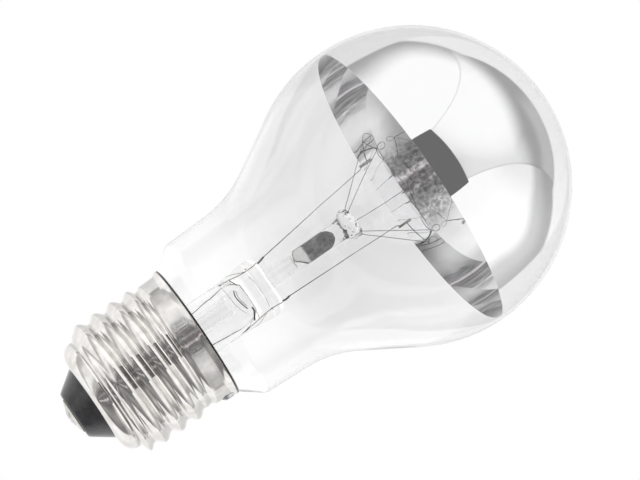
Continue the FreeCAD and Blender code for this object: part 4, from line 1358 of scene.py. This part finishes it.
    def tone(self, sheet: float) -> Socket:
        """The whole tent, with the lit sheet's light given.

        Args:
            sheet: light of the sheet behind the bulb.

        Returns:
            The tent's colour.
        """
        light = self.opening(self.back(self.sides(self.top()), sheet))
        low = self.fade((self.lift, -1.0, 6.0, 1.0, 0.0), (self.aside, 95.0, 105.0, 1.0, 0.0))
        above = self.add("CombineColor", light, light, light)
        return self.add("Mix", low, above, self.below(), data_type="RGBA")


@dataclass
class Studio:
    """Light tent, floor, lamps and camera, sizes in metres."""

    floor_size: float = 6.0
    floor_drop: float = 0.3
    camera_at: Point3 = (0.0, -0.4135, -0.00196)
    lens: float = 126.73
    sensor: float = 36.0
    power: float = 1.35
    fill: float = 0.55
    lamp_size: float = 0.9
    lamp_aim: Point3 = (0.0, 0.0, 0.06)

    def build_tent(self) -> None:
        """World: the tent for metal and glass, a plain fill for the rest, white for the camera."""
        world = bpy.data.worlds.new("light_tent")
        bpy.context.scene.world = world
        world.use_nodes = True
        world.node_tree.nodes.clear()
        tent = Tent(world.node_tree)
        rays = tent.add("LightPath").node.outputs
        seen = tent.add("Math", rays["Is Glossy Ray"], rays["Is Transmission Ray"], operation="MAXIMUM")
        plain = tent.add("Background", "FFFFFF", self.fill)
        shown = tent.add("Background", tent.tone(1.0 / self.power), self.power)
        lit = tent.add("MixShader", seen, plain, shown)
        whole = tent.add("MixShader", rays["Is Camera Ray"], lit, tent.add("Background", "FFFFFF", 1.0))
        tent.fill(world.node_tree.nodes.new("ShaderNodeOutputWorld").inputs["Surface"], whole)

    def build_floor(self) -> None:
        """Pale floor far below, lifted to white for the camera but keeping part of its shadow."""
        deselect()
        bpy.ops.mesh.primitive_plane_add(size=self.floor_size, location=(0, 0, -self.floor_drop))
        floor = bpy.context.object
        floor.name = "floor"
        material, graph = new_material("pale_floor")
        tone = graph.add("ValToRGB", graph.grain(90.0, 2.0), stops={0.3: "F4F4F4", 0.7: "F8F8F8"})
        graph.shade(Base_Color=tone, Roughness=0.9)
        share = graph.add("Math", graph.add("LightPath", out="Is Camera Ray"), 0.75, operation="MULTIPLY")
        paint = graph.tree.nodes["Principled BSDF"].outputs[0]
        whole = graph.add("MixShader", share, paint, graph.add("Emission", "FFFFFF", 1.0))
        graph.fill(graph.tree.nodes["Material Output"].inputs["Surface"], whole)
        floor.data.materials.append(material)
        floor.visible_glossy = False
        floor.visible_transmission = False

    def build_lamps(self) -> None:
        """Three broad soft lamps that only fill the matt pieces."""
        for name, place, power in (("left_panel", (-0.9, -0.3, 0.5), 5.0),
                                   ("right_panel", (0.9, -0.5, 0.3), 4.0),
                                   ("top_panel", (0.0, -0.2, 1.1), 5.0)):
            lamp = bpy.data.lights.new(name, "AREA")
            lamp.energy = power
            lamp.size = self.lamp_size
            shape = bpy.data.objects.new(name, lamp)
            shape.location = place
            shape.rotation_euler = (Vector(self.lamp_aim) - Vector(place)).to_track_quat("-Z", "Y").to_euler()
            shape.visible_glossy = False
            shape.visible_transmission = False
            bpy.context.scene.collection.objects.link(shape)

    def build_camera(self) -> None:
        """Camera level with the cap's foot, rolled so that the upright bulb lies aslant."""
        data = bpy.data.cameras.new("camera")
        data.lens = self.lens
        data.sensor_width = self.sensor
        camera = bpy.data.objects.new("camera", data)
        right = Vector((0.56302, -0.11418, 0.81851))
        up = Vector((-0.82643, -0.08142, 0.55711))
        ahead = Vector((-0.00303, 0.99012, 0.14021))
        turn = Matrix((right, up, -ahead)).transposed().to_4x4()
        camera.matrix_world = Matrix.Translation(self.camera_at) @ turn
        bpy.context.scene.collection.objects.link(camera)
        bpy.context.scene.camera = camera
        bpy.context.scene.view_settings.view_transform = "Standard"

    def build(self) -> None:
        """Set up the whole studio."""
        self.build_camera()
        self.build_tent()
        self.build_floor()
        self.build_lamps()


def main() -> None:
    """Build the bulb piece by piece in its studio."""
    logging.basicConfig(level=logging.INFO, format="%(name)s %(message)s")
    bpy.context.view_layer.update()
    Studio().build()
    shop = Workshop()
    for part in (Envelope(shop), Cap(shop), Mount(shop), Wires(shop)):
        part.build()
        LOG.info("built %s", type(part).__name__)


if __name__ == "__main__":
    main()
